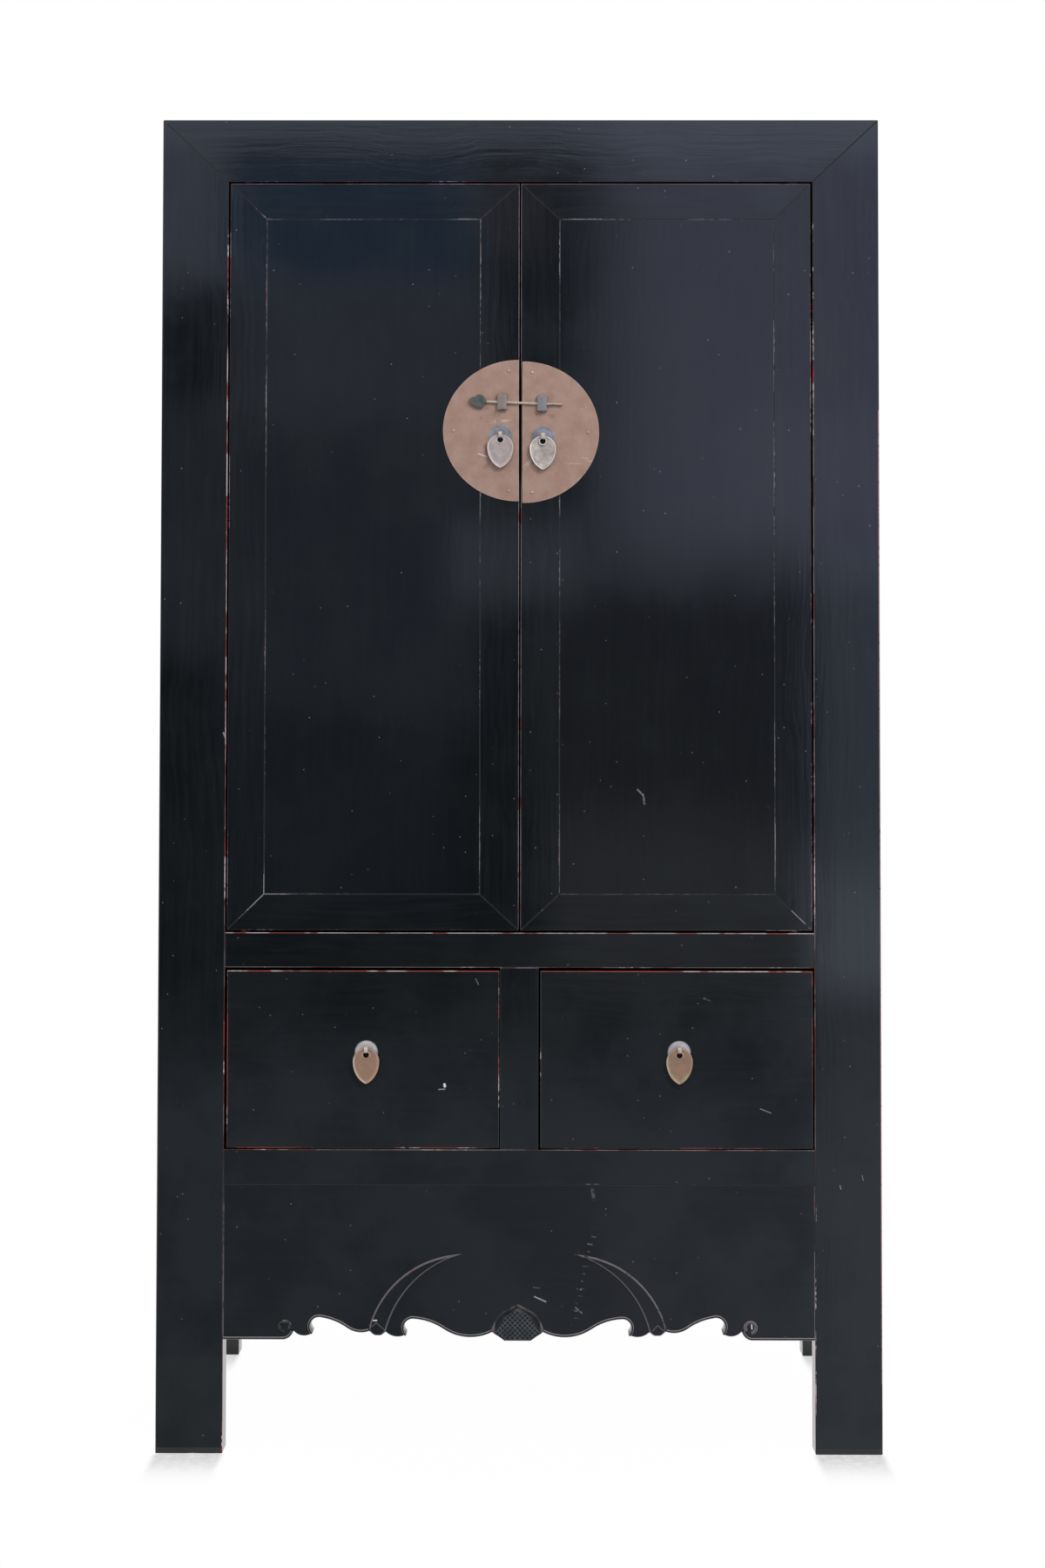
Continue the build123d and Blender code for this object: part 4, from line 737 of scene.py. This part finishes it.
# black painted shade for the hollow behind each pull's hole
PAINTED_SHADE = (0.004, 0.004, 0.004, 1.0)
for place, light, dark, hole_drop in (
    ("door", (0.34, 0.345, 0.37, 1.0), (0.15, 0.16, 0.185, 1.0), 0.0052),
    ("drawer", (0.66, 0.63, 0.645, 1.0), (0.45, 0.43, 0.44, 1.0), 0.0035),
):
    for side in ("left", "right"):
        node = f"{side}_{place}_rosette"
        low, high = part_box(node)
        middle_x, _, middle_z = middle(node)
        radius, back, crown = (high[0] - low[0]) / 2, high[1], high[1] - low[1]
        shape = bmesh.new()
        profile = [(radius * share, back - crown * height) for share, height in ROSETTE_PROFILE]
        turn(shape, profile, (middle_x, 0, middle_z), TEETH * 6)
        if place == "drawer":
            for vert in shape.verts:
                x, z = vert.co.x - middle_x, vert.co.z - middle_z
                away = math.hypot(x, z) / radius
                wave = (1 - math.cos(TEETH * math.atan2(z, x))) / 2
                flute = max(0.0, (away - FLUTES_FROM) / (1 - FLUTES_FROM)) * wave
                vert.co.x -= x * FLUTE_DEPTH * flute
                vert.co.z -= z * FLUTE_DEPTH * flute
                if away < FLUTES_TO:
                    vert.co.y += FLUTE_DROP * flute
        # painted shade in the hollow behind the pull's hole, where no light comes
        hole_z = middle_z - hole_drop
        hole_shade = marks_at(
            back, (middle_x - 0.0005, hole_z, middle_x + 0.0005, hole_z, 0.0075, 0.0, 1.0, PAINTED_SHADE))
        white_brass = metal(f"{node}_brass", light, dark, 0.32, 0.45, marks=hole_shade)
        add_piece(f"{node}_pressed", shape, white_brass, f"{side}_{place}", node)

# ---- Eyelets ----
# Split pins of brass strap that hold each rosette and carry its pull. The pulls have worn them
# round and bright.
STRAP_LIGHT, STRAP_DARK = (0.80, 0.70, 0.60, 1.0), (0.55, 0.45, 0.36, 1.0)
for place in ("door", "drawer"):
    for side in ("left", "right"):
        strap = metal(f"{side}_{place}_strap", STRAP_LIGHT, STRAP_DARK, 0.3, 0.5)
        ease_arrises(dress(f"{side}_{place}_eyelet", strap), 0.0006, 3, 40)

# ---- Pendants ----
# The pulls: leaf-shaped plates of brass with a raised rim and a dished middle, hung by a hole
# near the top. The one on the right door is dished deepest, and the right drawer's has gone green.
WIDEST_AT = 0.37


def leaf_point(share, half_width, top, length):
    """A point of the leaf's outline, at a share of the way from its top round by the right."""
    angle = 2 * math.pi * share
    widest = top - WIDEST_AT * length
    if math.cos(angle) >= 0:
        return math.sin(angle) * half_width, widest + math.cos(angle) * WIDEST_AT * length
    down = 1 - abs(math.sin(angle)) ** 1.35
    side = math.copysign(half_width, math.sin(angle))
    return side * (1 - down ** 2.1) ** 0.70, widest - down * (1 - WIDEST_AT) * length


PENDANTS = (
    # place, light, dark, rim and its painted highlight, metallic, depth of the dish
    ("left_door", (0.50, 0.425, 0.405, 1.0), (0.36, 0.295, 0.28, 1.0), (0.62, 0.56, 0.54, 1.0),
     0.30, 0.0006),
    ("right_door", (0.58, 0.52, 0.49, 1.0), (0.33, 0.27, 0.24, 1.0), (0.92, 0.91, 0.90, 1.0),
     0.40, 0.0030),
    ("left_drawer", (0.42, 0.262, 0.175, 1.0), (0.32, 0.200, 0.140, 1.0), (0.60, 0.47, 0.40, 1.0),
     0.30, 0.0006),
    ("right_drawer", (0.40, 0.225, 0.150, 1.0), (0.25, 0.185, 0.125, 1.0), (0.50, 0.39, 0.30, 1.0),
     0.30, 0.0006),
)
HOLE_RADIUS = 0.0041
HOLE_BELOW_TOP = {"door": 0.0077, "drawer": 0.0100}
RIM_SLOPE, RIM_WIDTH, RIM_FALL = 0.00035, 0.0011, 0.0008
RIM_RISE, EDGE_RISE, GROUND_RISE = 0.0013, 0.0009, 0.0008
SHEET = 0.0008
verdigris = marks_at(
    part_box("right_drawer_pendant")[1][1] - EDGE_RISE,
    (0.2330, 0.5270, 0.2375, 0.5330, 0.0045, 0.42, 0.60, (0.36, 0.38, 0.22, 1.0)),
    (0.2180, 0.5330, 0.2290, 0.5240, 0.0040, 0.46, 0.45, (0.33, 0.31, 0.18, 1.0)),
)
for look, light, dark, rim_tint, metallic, dish in PENDANTS:
    node = f"{look}_pendant"
    low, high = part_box(node)
    back, top, length = high[1], high[2], high[2] - low[2]
    middle_x, half_width = (low[0] + high[0]) / 2, (high[0] - low[0]) / 2
    hole_z = top - HOLE_BELOW_TOP[look.split("_")[1]]
    shape = bmesh.new()
    outline = bmesh.ops.create_circle(shape, segments=96, radius=1.0)["verts"]
    hole = bmesh.ops.create_circle(shape, segments=96, radius=HOLE_RADIUS)["verts"]
    for vert in outline:
        share = (math.atan2(vert.co.x, vert.co.y) / (2 * math.pi)) % 1.0
        x, z = leaf_point(share, half_width, top, length)
        vert.co = (middle_x + x, back, z)
    for vert in hole:
        vert.co = (middle_x + vert.co.x, back, hole_z + vert.co.y)
    bmesh.ops.bridge_loops(shape, edges=shape.edges[:])
    bmesh.ops.recalc_face_normals(shape, faces=shape.faces)
    if shape.faces[0].normal.y > 0:
        bmesh.ops.reverse_faces(shape, faces=shape.faces)
    inner, bands = shape.faces[:], []
    for width in (RIM_SLOPE, RIM_WIDTH, RIM_FALL):
        band = bmesh.ops.inset_region(
            shape, faces=inner, thickness=width, use_boundary=True, use_even_offset=True)["faces"]
        inner = [f for f in inner if f.is_valid and f not in band]
        bands.append(band)
    spokes = [
        edge for edge in {e for f in inner for e in f.edges}
        if all(face in inner for face in edge.link_faces)
    ]
    bmesh.ops.subdivide_edges(shape, edges=spokes, cuts=7, use_grid_fill=True)
    crest_verts = {v for f in bands[1] if f.is_valid for v in f.verts}
    outer_verts = {v for e in shape.edges if e.is_boundary for v in e.verts}
    dish_z = top - 0.48 * length
    for vert in shape.verts:
        if vert in outer_verts:
            rise = EDGE_RISE
        elif vert in crest_verts:
            rise = RIM_RISE
        else:
            x, z = (vert.co.x - middle_x) / half_width, (vert.co.z - dish_z) / (length / 2)
            rise = GROUND_RISE - dish * max(0.0, 1 - x * x - z * z) ** 0.8
        vert.co.y = back - rise
    bmesh.ops.solidify(shape, geom=shape.faces[:], thickness=SHEET)
    # a painted highlight along the lower left of the rim
    lit_rim_points = [
        leaf_point(share, half_width - 0.001, top - 0.001, length - 0.002)
        for share in (0.50, 0.56, 0.62, 0.68, 0.74, 0.80)
    ]
    rim_highlight = marks_at(back - RIM_RISE, *(
        (middle_x + x, z, middle_x + end_x, end_z, 0.0016, 0.25, 0.9, rim_tint)
        for (x, z), (end_x, end_z) in zip(lit_rim_points, lit_rim_points[1:])
    ))
    crest_tint = [0.75 * a + 0.25 * b for a, b in zip(light, rim_tint)]
    brass = metal(
        f"{node}_brass", light, dark, 0.34, metallic,
        ("Y", back - RIM_RISE + 0.0002, back - RIM_RISE, crest_tint),
        rim_highlight + (verdigris if look == "right_drawer" else ()), 110.0,
    )
    add_piece(f"{look}_leaf", shape, brass, f"{look}_pull", node)

# ---- Staples ----
# Bent brass straps that hold the lock pin to the plate, drawn in at the waist and clenched
# behind the door.
STRAP_THICK, STAPLE_HALF, CLENCH = 0.0015, 0.0115, 0.009
for side, light, dark in (
    ("left", (0.33, 0.27, 0.235, 1.0), (0.12, 0.09, 0.075, 1.0)),
    ("right", (0.29, 0.29, 0.295, 1.0), (0.095, 0.095, 0.10, 1.0)),
):
    node = f"{side}_lock_staple"
    low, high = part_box(node)
    front, back, leg_z = low[1], high[1], STAPLE_HALF - STRAP_THICK
    path = (
        # place along the depth, height from the middle, half width
        (back - STRAP_THICK, leg_z + CLENCH, 0.0025), (back - STRAP_THICK, leg_z, 0.0025),
        (PLATE_FACE + 0.001, leg_z, 0.0025), (PLATE_FACE, leg_z, 0.0072),
        (front + STRAP_THICK + 0.0008, leg_z, 0.0071),
        (front + STRAP_THICK, leg_z - 0.0010, 0.0068),
        (front + STRAP_THICK, STAPLE_HALF * 0.62, 0.0065),
        (front + STRAP_THICK, STAPLE_HALF * 0.3, 0.0064), (front + STRAP_THICK, 0.0, 0.0063),
    )
    path += tuple((y, -z, width) for y, z, width in reversed(path[:-1]))
    shape = bmesh.new()
    y, z, width = path[0]
    strip_end = [shape.edges.new([shape.verts.new((x, y, z)) for x in (-width, width)])]
    for y, z, width in path[1:]:
        drawn = bmesh.ops.extrude_edge_only(shape, edges=strip_end)["geom"]
        fresh = [g for g in drawn if isinstance(g, bmesh.types.BMVert)]
        strip_end = [shape.edges.get(fresh)]
        for vert in fresh:
            vert.co = (math.copysign(width, vert.co.x), y, z)
    bmesh.ops.recalc_face_normals(shape, faces=shape.faces)
    foremost = min(shape.faces, key=lambda f: f.calc_center_median().y)
    if foremost.normal.y > 0:
        bmesh.ops.reverse_faces(shape, faces=shape.faces)
    bmesh.ops.solidify(shape, geom=shape.faces[:], thickness=-STRAP_THICK)
    centre_x, _, centre_z = middle(node)
    bmesh.ops.translate(shape, verts=shape.verts, vec=(centre_x, 0, centre_z))
    sharp = [e for e in shape.edges if len(e.link_faces) == 2 and e.calc_face_angle(0) > 0.6]
    bmesh.ops.bevel(
        shape, geom=sharp, offset=0.0003, segments=2, affect="EDGES", profile=0.5, material=-1,
        clamp_overlap=True,
    )
    rubbed = [0.85 * channel for channel in light[:3]] + [1.0]
    worn = ("Y", front + 0.0004, front + 0.0001, rubbed)
    strap = metal(f"{node}_brass", light, dark, 0.36, 0.5, worn, clouds=190.0)
    add_piece(f"{node}_strap", shape, strap, f"{side}_door", node)

# ---- Lock pin ----
# A forged rod with a flattened leaf for a head, pushed through both staples. The rod is drawn
# and worn bright, its end is notched, and the head is dark.
PIN_TILT = math.radians(2.3)
NECK_X, NOTCHED_FROM, HEAD_X = -0.0478, 0.042, -0.0590
HEAD_RADIUS, HEAD_BORDER, HEAD_THICK = 0.0094, 0.0014, 0.003
STATIONS = 60
pin_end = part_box("lock_pin")[1][0]
_, rod_y, rod_z = middle("lock_pin")
profile = [(0.0, NECK_X)]
for step in range(STATIONS + 1):
    x = NECK_X + (pin_end - NECK_X) * step / STATIONS
    radius = 0.00185 + 0.00010 * math.sin(step * 0.9) * math.sin(step * 0.37)
    if x > NOTCHED_FROM:
        radius = 0.00180 - 0.00028 * (1 + math.sin(step * 2.1)) / 2
    profile.append((radius, x))
profile.append((0.0, pin_end))
shape = bmesh.new()
turn(shape, profile, (0, 0, 0), 20, axis="X")
rod_verts = set(shape.verts)
head = bmesh.ops.create_circle(shape, cap_ends=True, segments=48, radius=1.0)["verts"]
for vert in head:
    angle = math.atan2(vert.co.y, vert.co.x)
    reach = HEAD_RADIUS + 0.0003 * math.sin(5 * angle + 0.8) + 0.0002 * math.sin(13 * angle)
    beak = max(0.0, math.cos(angle - math.radians(178))) ** 10 * 0.0040
    notch = max(0.0, math.cos(angle - math.radians(132))) ** 50 * 0.0016
    reach += beak - notch
    x, z = HEAD_X + reach * math.cos(angle) * 1.06, reach * math.sin(angle)
    vert.co = (x, -HEAD_THICK / 2, z)
face = next(f for f in shape.faces if len(f.verts) == len(head))
border = bmesh.ops.inset_region(
    shape, faces=[face], thickness=HEAD_BORDER, depth=0.0, use_even_offset=True)["faces"]
bmesh.ops.solidify(shape, geom=[face] + border, thickness=HEAD_THICK)
bmesh.ops.transform(shape, matrix=Matrix.Rotation(PIN_TILT, 4, "Y"), verts=shape.verts)
tip = max(v.co.x for v in shape.verts)
head_heights = [v.co.z for v in shape.verts if v not in rod_verts]
head_z = (min(head_heights) + max(head_heights)) / 2
bmesh.ops.translate(shape, verts=shape.verts, vec=(pin_end - tip, rod_y, rod_z - head_z))
forged = metal(
    "forged_pin", (0.115, 0.125, 0.115, 1.0), (0.060, 0.066, 0.060, 1.0), 0.5, 0.35,
    ("X", -0.0500, -0.0460, (0.50, 0.42, 0.34, 1.0)),
    marks_at(
        rod_y - 0.0019,
        (0.043, 1.4870, 0.064, 1.4862, 0.0017, 0.30, 0.9, (0.04, 0.03, 0.025, 1.0)),
    ), 120.0,
)
add_piece("forged_lock_pin", shape, forged, "lock_pin", "lock_pin")

# ---- Studio floor ----
# White glazed board under the feet. It keeps the cabinet's shadow and a faint painted reflection
# of each foot, and fades to plain white further off.
FLOOR_FRONT, FLOOR_REACH = -0.75, 12.0
IMAGE_REACH = 0.16
WHITE = (1.0, 1.0, 1.0, 1.0)


def looked_at(tree):
    """1 on rays that the eye follows: straight, by a mirror or through glass."""
    ray = add_node(tree, "ShaderNodeLightPath").outputs
    kinds = ("Camera", "Glossy", "Transmission")
    return combine(tree, "MAXIMUM", *(ray[f"Is {kind} Ray"] for kind in kinds))


paper, tree, where = new_material("white_paper")
axes = split(tree, where)
# painted reflections of the feet: grey strips on the floor in front of each post, fading forwards
feet = []
for post in ("front_left_post", "front_right_post", "back_left_post", "back_right_post"):
    low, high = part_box(post)
    ahead = ramp(tree, axes["Y"], low[1] - IMAGE_REACH, low[1] - 0.002)
    feet.append(combine(
        tree, "MULTIPLY", within(tree, axes["X"], low[0], high[0], 0.006),
        compute(tree, "POWER", ahead, 2.0), ramp(tree, axes["Y"], low[1] + 0.002, low[1]),
    ))
uneven = ramp(tree, noise(tree, where, 90.0, 4.0, 0.7), 0.3, 0.6, 0.24, 0.40)
grey = compute(tree, "MULTIPLY", combine(tree, "MAXIMUM", *feet), uneven)
image = mix(tree, grey, WHITE, (0.10, 0.10, 0.10, 1.0))
away = compute_vector(tree, "LENGTH", compute_vector(tree, "MULTIPLY", where, (1.0, 1.2, 0.0)))
share = compute(tree, "MULTIPLY", looked_at(tree), ramp(tree, away, 0.35, 0.90, 0.985, 1.0))
matt = add_node(tree, "ShaderNodeBsdfDiffuse", {"Color": (0.8, 0.8, 0.8, 1.0)})
white = add_node(tree, "ShaderNodeEmission", {"Color": image, "Strength": 1.0})
seen = add_node(
    tree, "ShaderNodeMixShader", {"Fac": share, 1: matt.outputs[0], 2: white.outputs[0]})
add_node(tree, "ShaderNodeOutputMaterial", {"Surface": seen.outputs[0]})
shape = bmesh.new()
bmesh.ops.create_grid(shape, x_segments=1, y_segments=1, size=FLOOR_REACH)
bmesh.ops.translate(shape, verts=shape.verts, vec=(0, FLOOR_FRONT + FLOOR_REACH, 0))
place_mesh("floor", shape, paper)

# ---- Studio wall ----
# What the gloss of the front mirrors, and nothing else sees: a dark wall behind the camera with
# soft boxes in it, white past its edges, and a grey mat before the feet. The places of the soft
# boxes are where each shows on the cabinet's front, in metres.
SOFT_BOXES = (
    # left, right, side blur, low, high, upright blur, colour
    (-0.90, 0.90, 0.03, 1.862, 2.74, 0.015, (0.92, 1.02, 1.36)),
    (0.119, 0.90, 0.09, 1.255, 1.90, 0.075, (0.74, 0.80, 1.12)),
    (0.298, 0.90, 0.09, 1.312, 1.491, 0.060, (0.18, 0.18, 0.22)),
    (0.420, 0.90, 0.018, 0.657, 1.282, 0.042, (0.50, 0.58, 0.78)),
    (0.420, 0.90, 0.018, 0.643, 0.821, 0.065, (0.48, 0.52, 0.58)),
    (0.420, 0.90, 0.018, -0.235, 0.657, 0.060, (0.34, 0.37, 0.44)),
    (-0.90, 0.42, 0.030, -0.235, 0.560, 0.100, (0.14, 0.15, 0.18)),
    (0.000, 0.90, 0.200, -0.235, 0.450, 0.100, (0.12, 0.12, 0.14)),
    (0.030, 0.4226, 0.050, 0.860, 1.260, 0.080, (0.09, 0.09, 0.11)),
    (-0.90, -0.4226, 0.012, 1.657, 1.860, 0.018, (0.62, 0.68, 0.92)),
    (-0.90, -0.4226, 0.012, 1.134, 1.500, 0.030, (0.17, 0.19, 0.23)),
    (-0.4226, -0.060, 0.012, 1.657, 1.850, 0.024, (0.12, 0.25, 0.48)),
    (-0.4226, -0.030, 0.018, 1.467, 1.669, 0.030, (0.30, 0.32, 0.42)),
    (-0.4226, -0.060, 0.030, 1.060, 1.467, 0.042, (0.15, 0.17, 0.23)),
    (-0.4226, -0.100, 0.030, 0.776, 1.060, 0.060, (0.06, 0.07, 0.09)),
    (-0.100, 0.090, 0.024, 1.205, 1.330, 0.036, (0.40, 0.44, 0.54)),
    (-0.071, 0.030, 0.018, 1.699, 1.824, 0.030, (0.24, 0.22, 0.26)),
    (0.042, 0.4226, 0.036, 0.640, 0.890, 0.065, (0.25, 0.26, 0.29)),
)
DARK_WALL, WHITE_ROOM = (0.05, 0.06, 0.07), (0.95, 0.97, 1.0, 1.0)
MAT_LEFT, MAT_RIGHT = (0.26, 0.29, 0.32, 1.0), (0.46, 0.50, 0.58, 1.0)
WALL_Y, WALL_EDGE, WALL_FOOT, WALL_TOP, WALL_BLUR = -6.2, 2.4, -2.4, 4.7, 0.25
EYE = (0.01634, -3.2457, 0.9555)
mirrored, tree, where = new_material("mirrored_room")
axes = split(tree, where)
# the place on the front where the eye sees a place on the wall mirrored
share = (FRONT - WALL_Y) / (FRONT - EYE[1])
front_x = compute(tree, "MULTIPLY_ADD", axes["X"], 1 / (1 + share), EYE[0] * share / (1 + share))
front_z = compute(tree, "MULTIPLY_ADD", axes["Z"], 1 / (1 + share), EYE[2] * share / (1 + share))
room = DARK_WALL
for left, right, side_blur, low, high, upright_blur, tint in SOFT_BOXES:
    lit = compute(
        tree, "MULTIPLY", within(tree, front_x, left, right, side_blur),
        within(tree, front_z, low, high, upright_blur),
    )
    room = compute_vector(tree, "ADD", room, compute_vector(tree, "SCALE", tint, scale=lit))
inside = compute(
    tree, "MULTIPLY", within(tree, axes["X"], -WALL_EDGE, WALL_EDGE, WALL_BLUR),
    within(tree, axes["Z"], WALL_FOOT, WALL_TOP, WALL_BLUR),
)
room = mix(tree, inside, WHITE_ROOM, room)
mat = mix(tree, ramp(tree, axes["X"], 0.0, 0.5), MAT_LEFT, MAT_RIGHT)
room = mix(tree, ramp(tree, axes["Y"], -2.0, -1.0), room, mat)
glow = add_node(tree, "ShaderNodeEmission", {"Color": room, "Strength": 1.0})
add_node(tree, "ShaderNodeOutputMaterial", {"Surface": glow.outputs[0]})
card = bmesh.new()
for corners in (
    [(x, WALL_Y, z) for x, z in ((-2.7, -2.5), (2.7, -2.5), (2.7, 5.0), (-2.7, 5.0))],
    [(x, y, 0.002) for x, y in ((-0.8, -0.74), (0.8, -0.74), (0.8, -0.29), (-0.8, -0.29))],
):
    bmesh.ops.contextual_create(card, geom=[card.verts.new(corner) for corner in corners])
wall = place_mesh("dark_wall", card, mirrored)
for unseen in ("camera", "diffuse", "transmission", "volume_scatter", "shadow"):
    setattr(wall, f"visible_{unseen}", False)

# ---- Studio light ----
# A large soft key from the upper right and a weaker fill from the left, in a surround that looks
# plain white but lights the cabinet at half that strength.
world = bpy.data.worlds.new("studio")
bpy.context.scene.world = world
world.use_nodes = True
tree = world.node_tree
tree.nodes.clear()
level = ramp(tree, looked_at(tree), 0.0, 1.0, 0.50, 1.0)
surround = add_node(tree, "ShaderNodeBackground", {"Color": WHITE, "Strength": level})
add_node(tree, "ShaderNodeOutputWorld", {"Surface": surround.outputs[0]})
CABINET_MIDDLE = Vector((0.0, 0.0, 0.95))
for name, place, width, height, power in (
    ("key_light", (1.5, -2.6, 3.4), 0.8, 0.8, 78.0),
    ("fill_light", (-2.4, -2.6, 1.6), 1.4, 2.0, 10.0),
):
    lamp = bpy.data.lights.new(name, "AREA")
    lamp.shape = "RECTANGLE"
    lamp.size, lamp.size_y, lamp.energy = width, height, power
    lit = bpy.data.objects.new(name, lamp)
    bpy.context.collection.objects.link(lit)
    lit.location = place
    lit.rotation_euler = (CABINET_MIDDLE - Vector(place)).to_track_quat("-Z", "Y").to_euler()
    lit.visible_camera = False
    lit.visible_glossy = False

# ---- Camera ----
# Nearly square to the front, at half the cabinet's height and three metres off. It looks up by
# little more than a degree, and its frame is shifted down to match.
PITCH, YAW, ROLL = math.radians(1.632), math.radians(-0.2366), math.radians(0.073)
forward = Vector(
    (math.sin(YAW) * math.cos(PITCH), math.cos(YAW) * math.cos(PITCH), math.sin(PITCH))
)
across = Vector((math.cos(YAW), -math.sin(YAW), 0.0))
over = across.cross(forward)
right = across * math.cos(ROLL) + over * math.sin(ROLL)
up = over * math.cos(ROLL) - across * math.sin(ROLL)
lens = bpy.data.cameras.new("camera")
lens.sensor_width = 36.0
lens.lens = 47.94
lens.shift_y = -0.0423
camera = bpy.data.objects.new("camera", lens)
bpy.context.collection.objects.link(camera)
turned = Matrix((right, up, -forward)).transposed().to_4x4()
camera.matrix_world = Matrix.Translation(EYE) @ turned
bpy.context.scene.camera = camera
bpy.context.scene.view_settings.view_transform = "Standard"
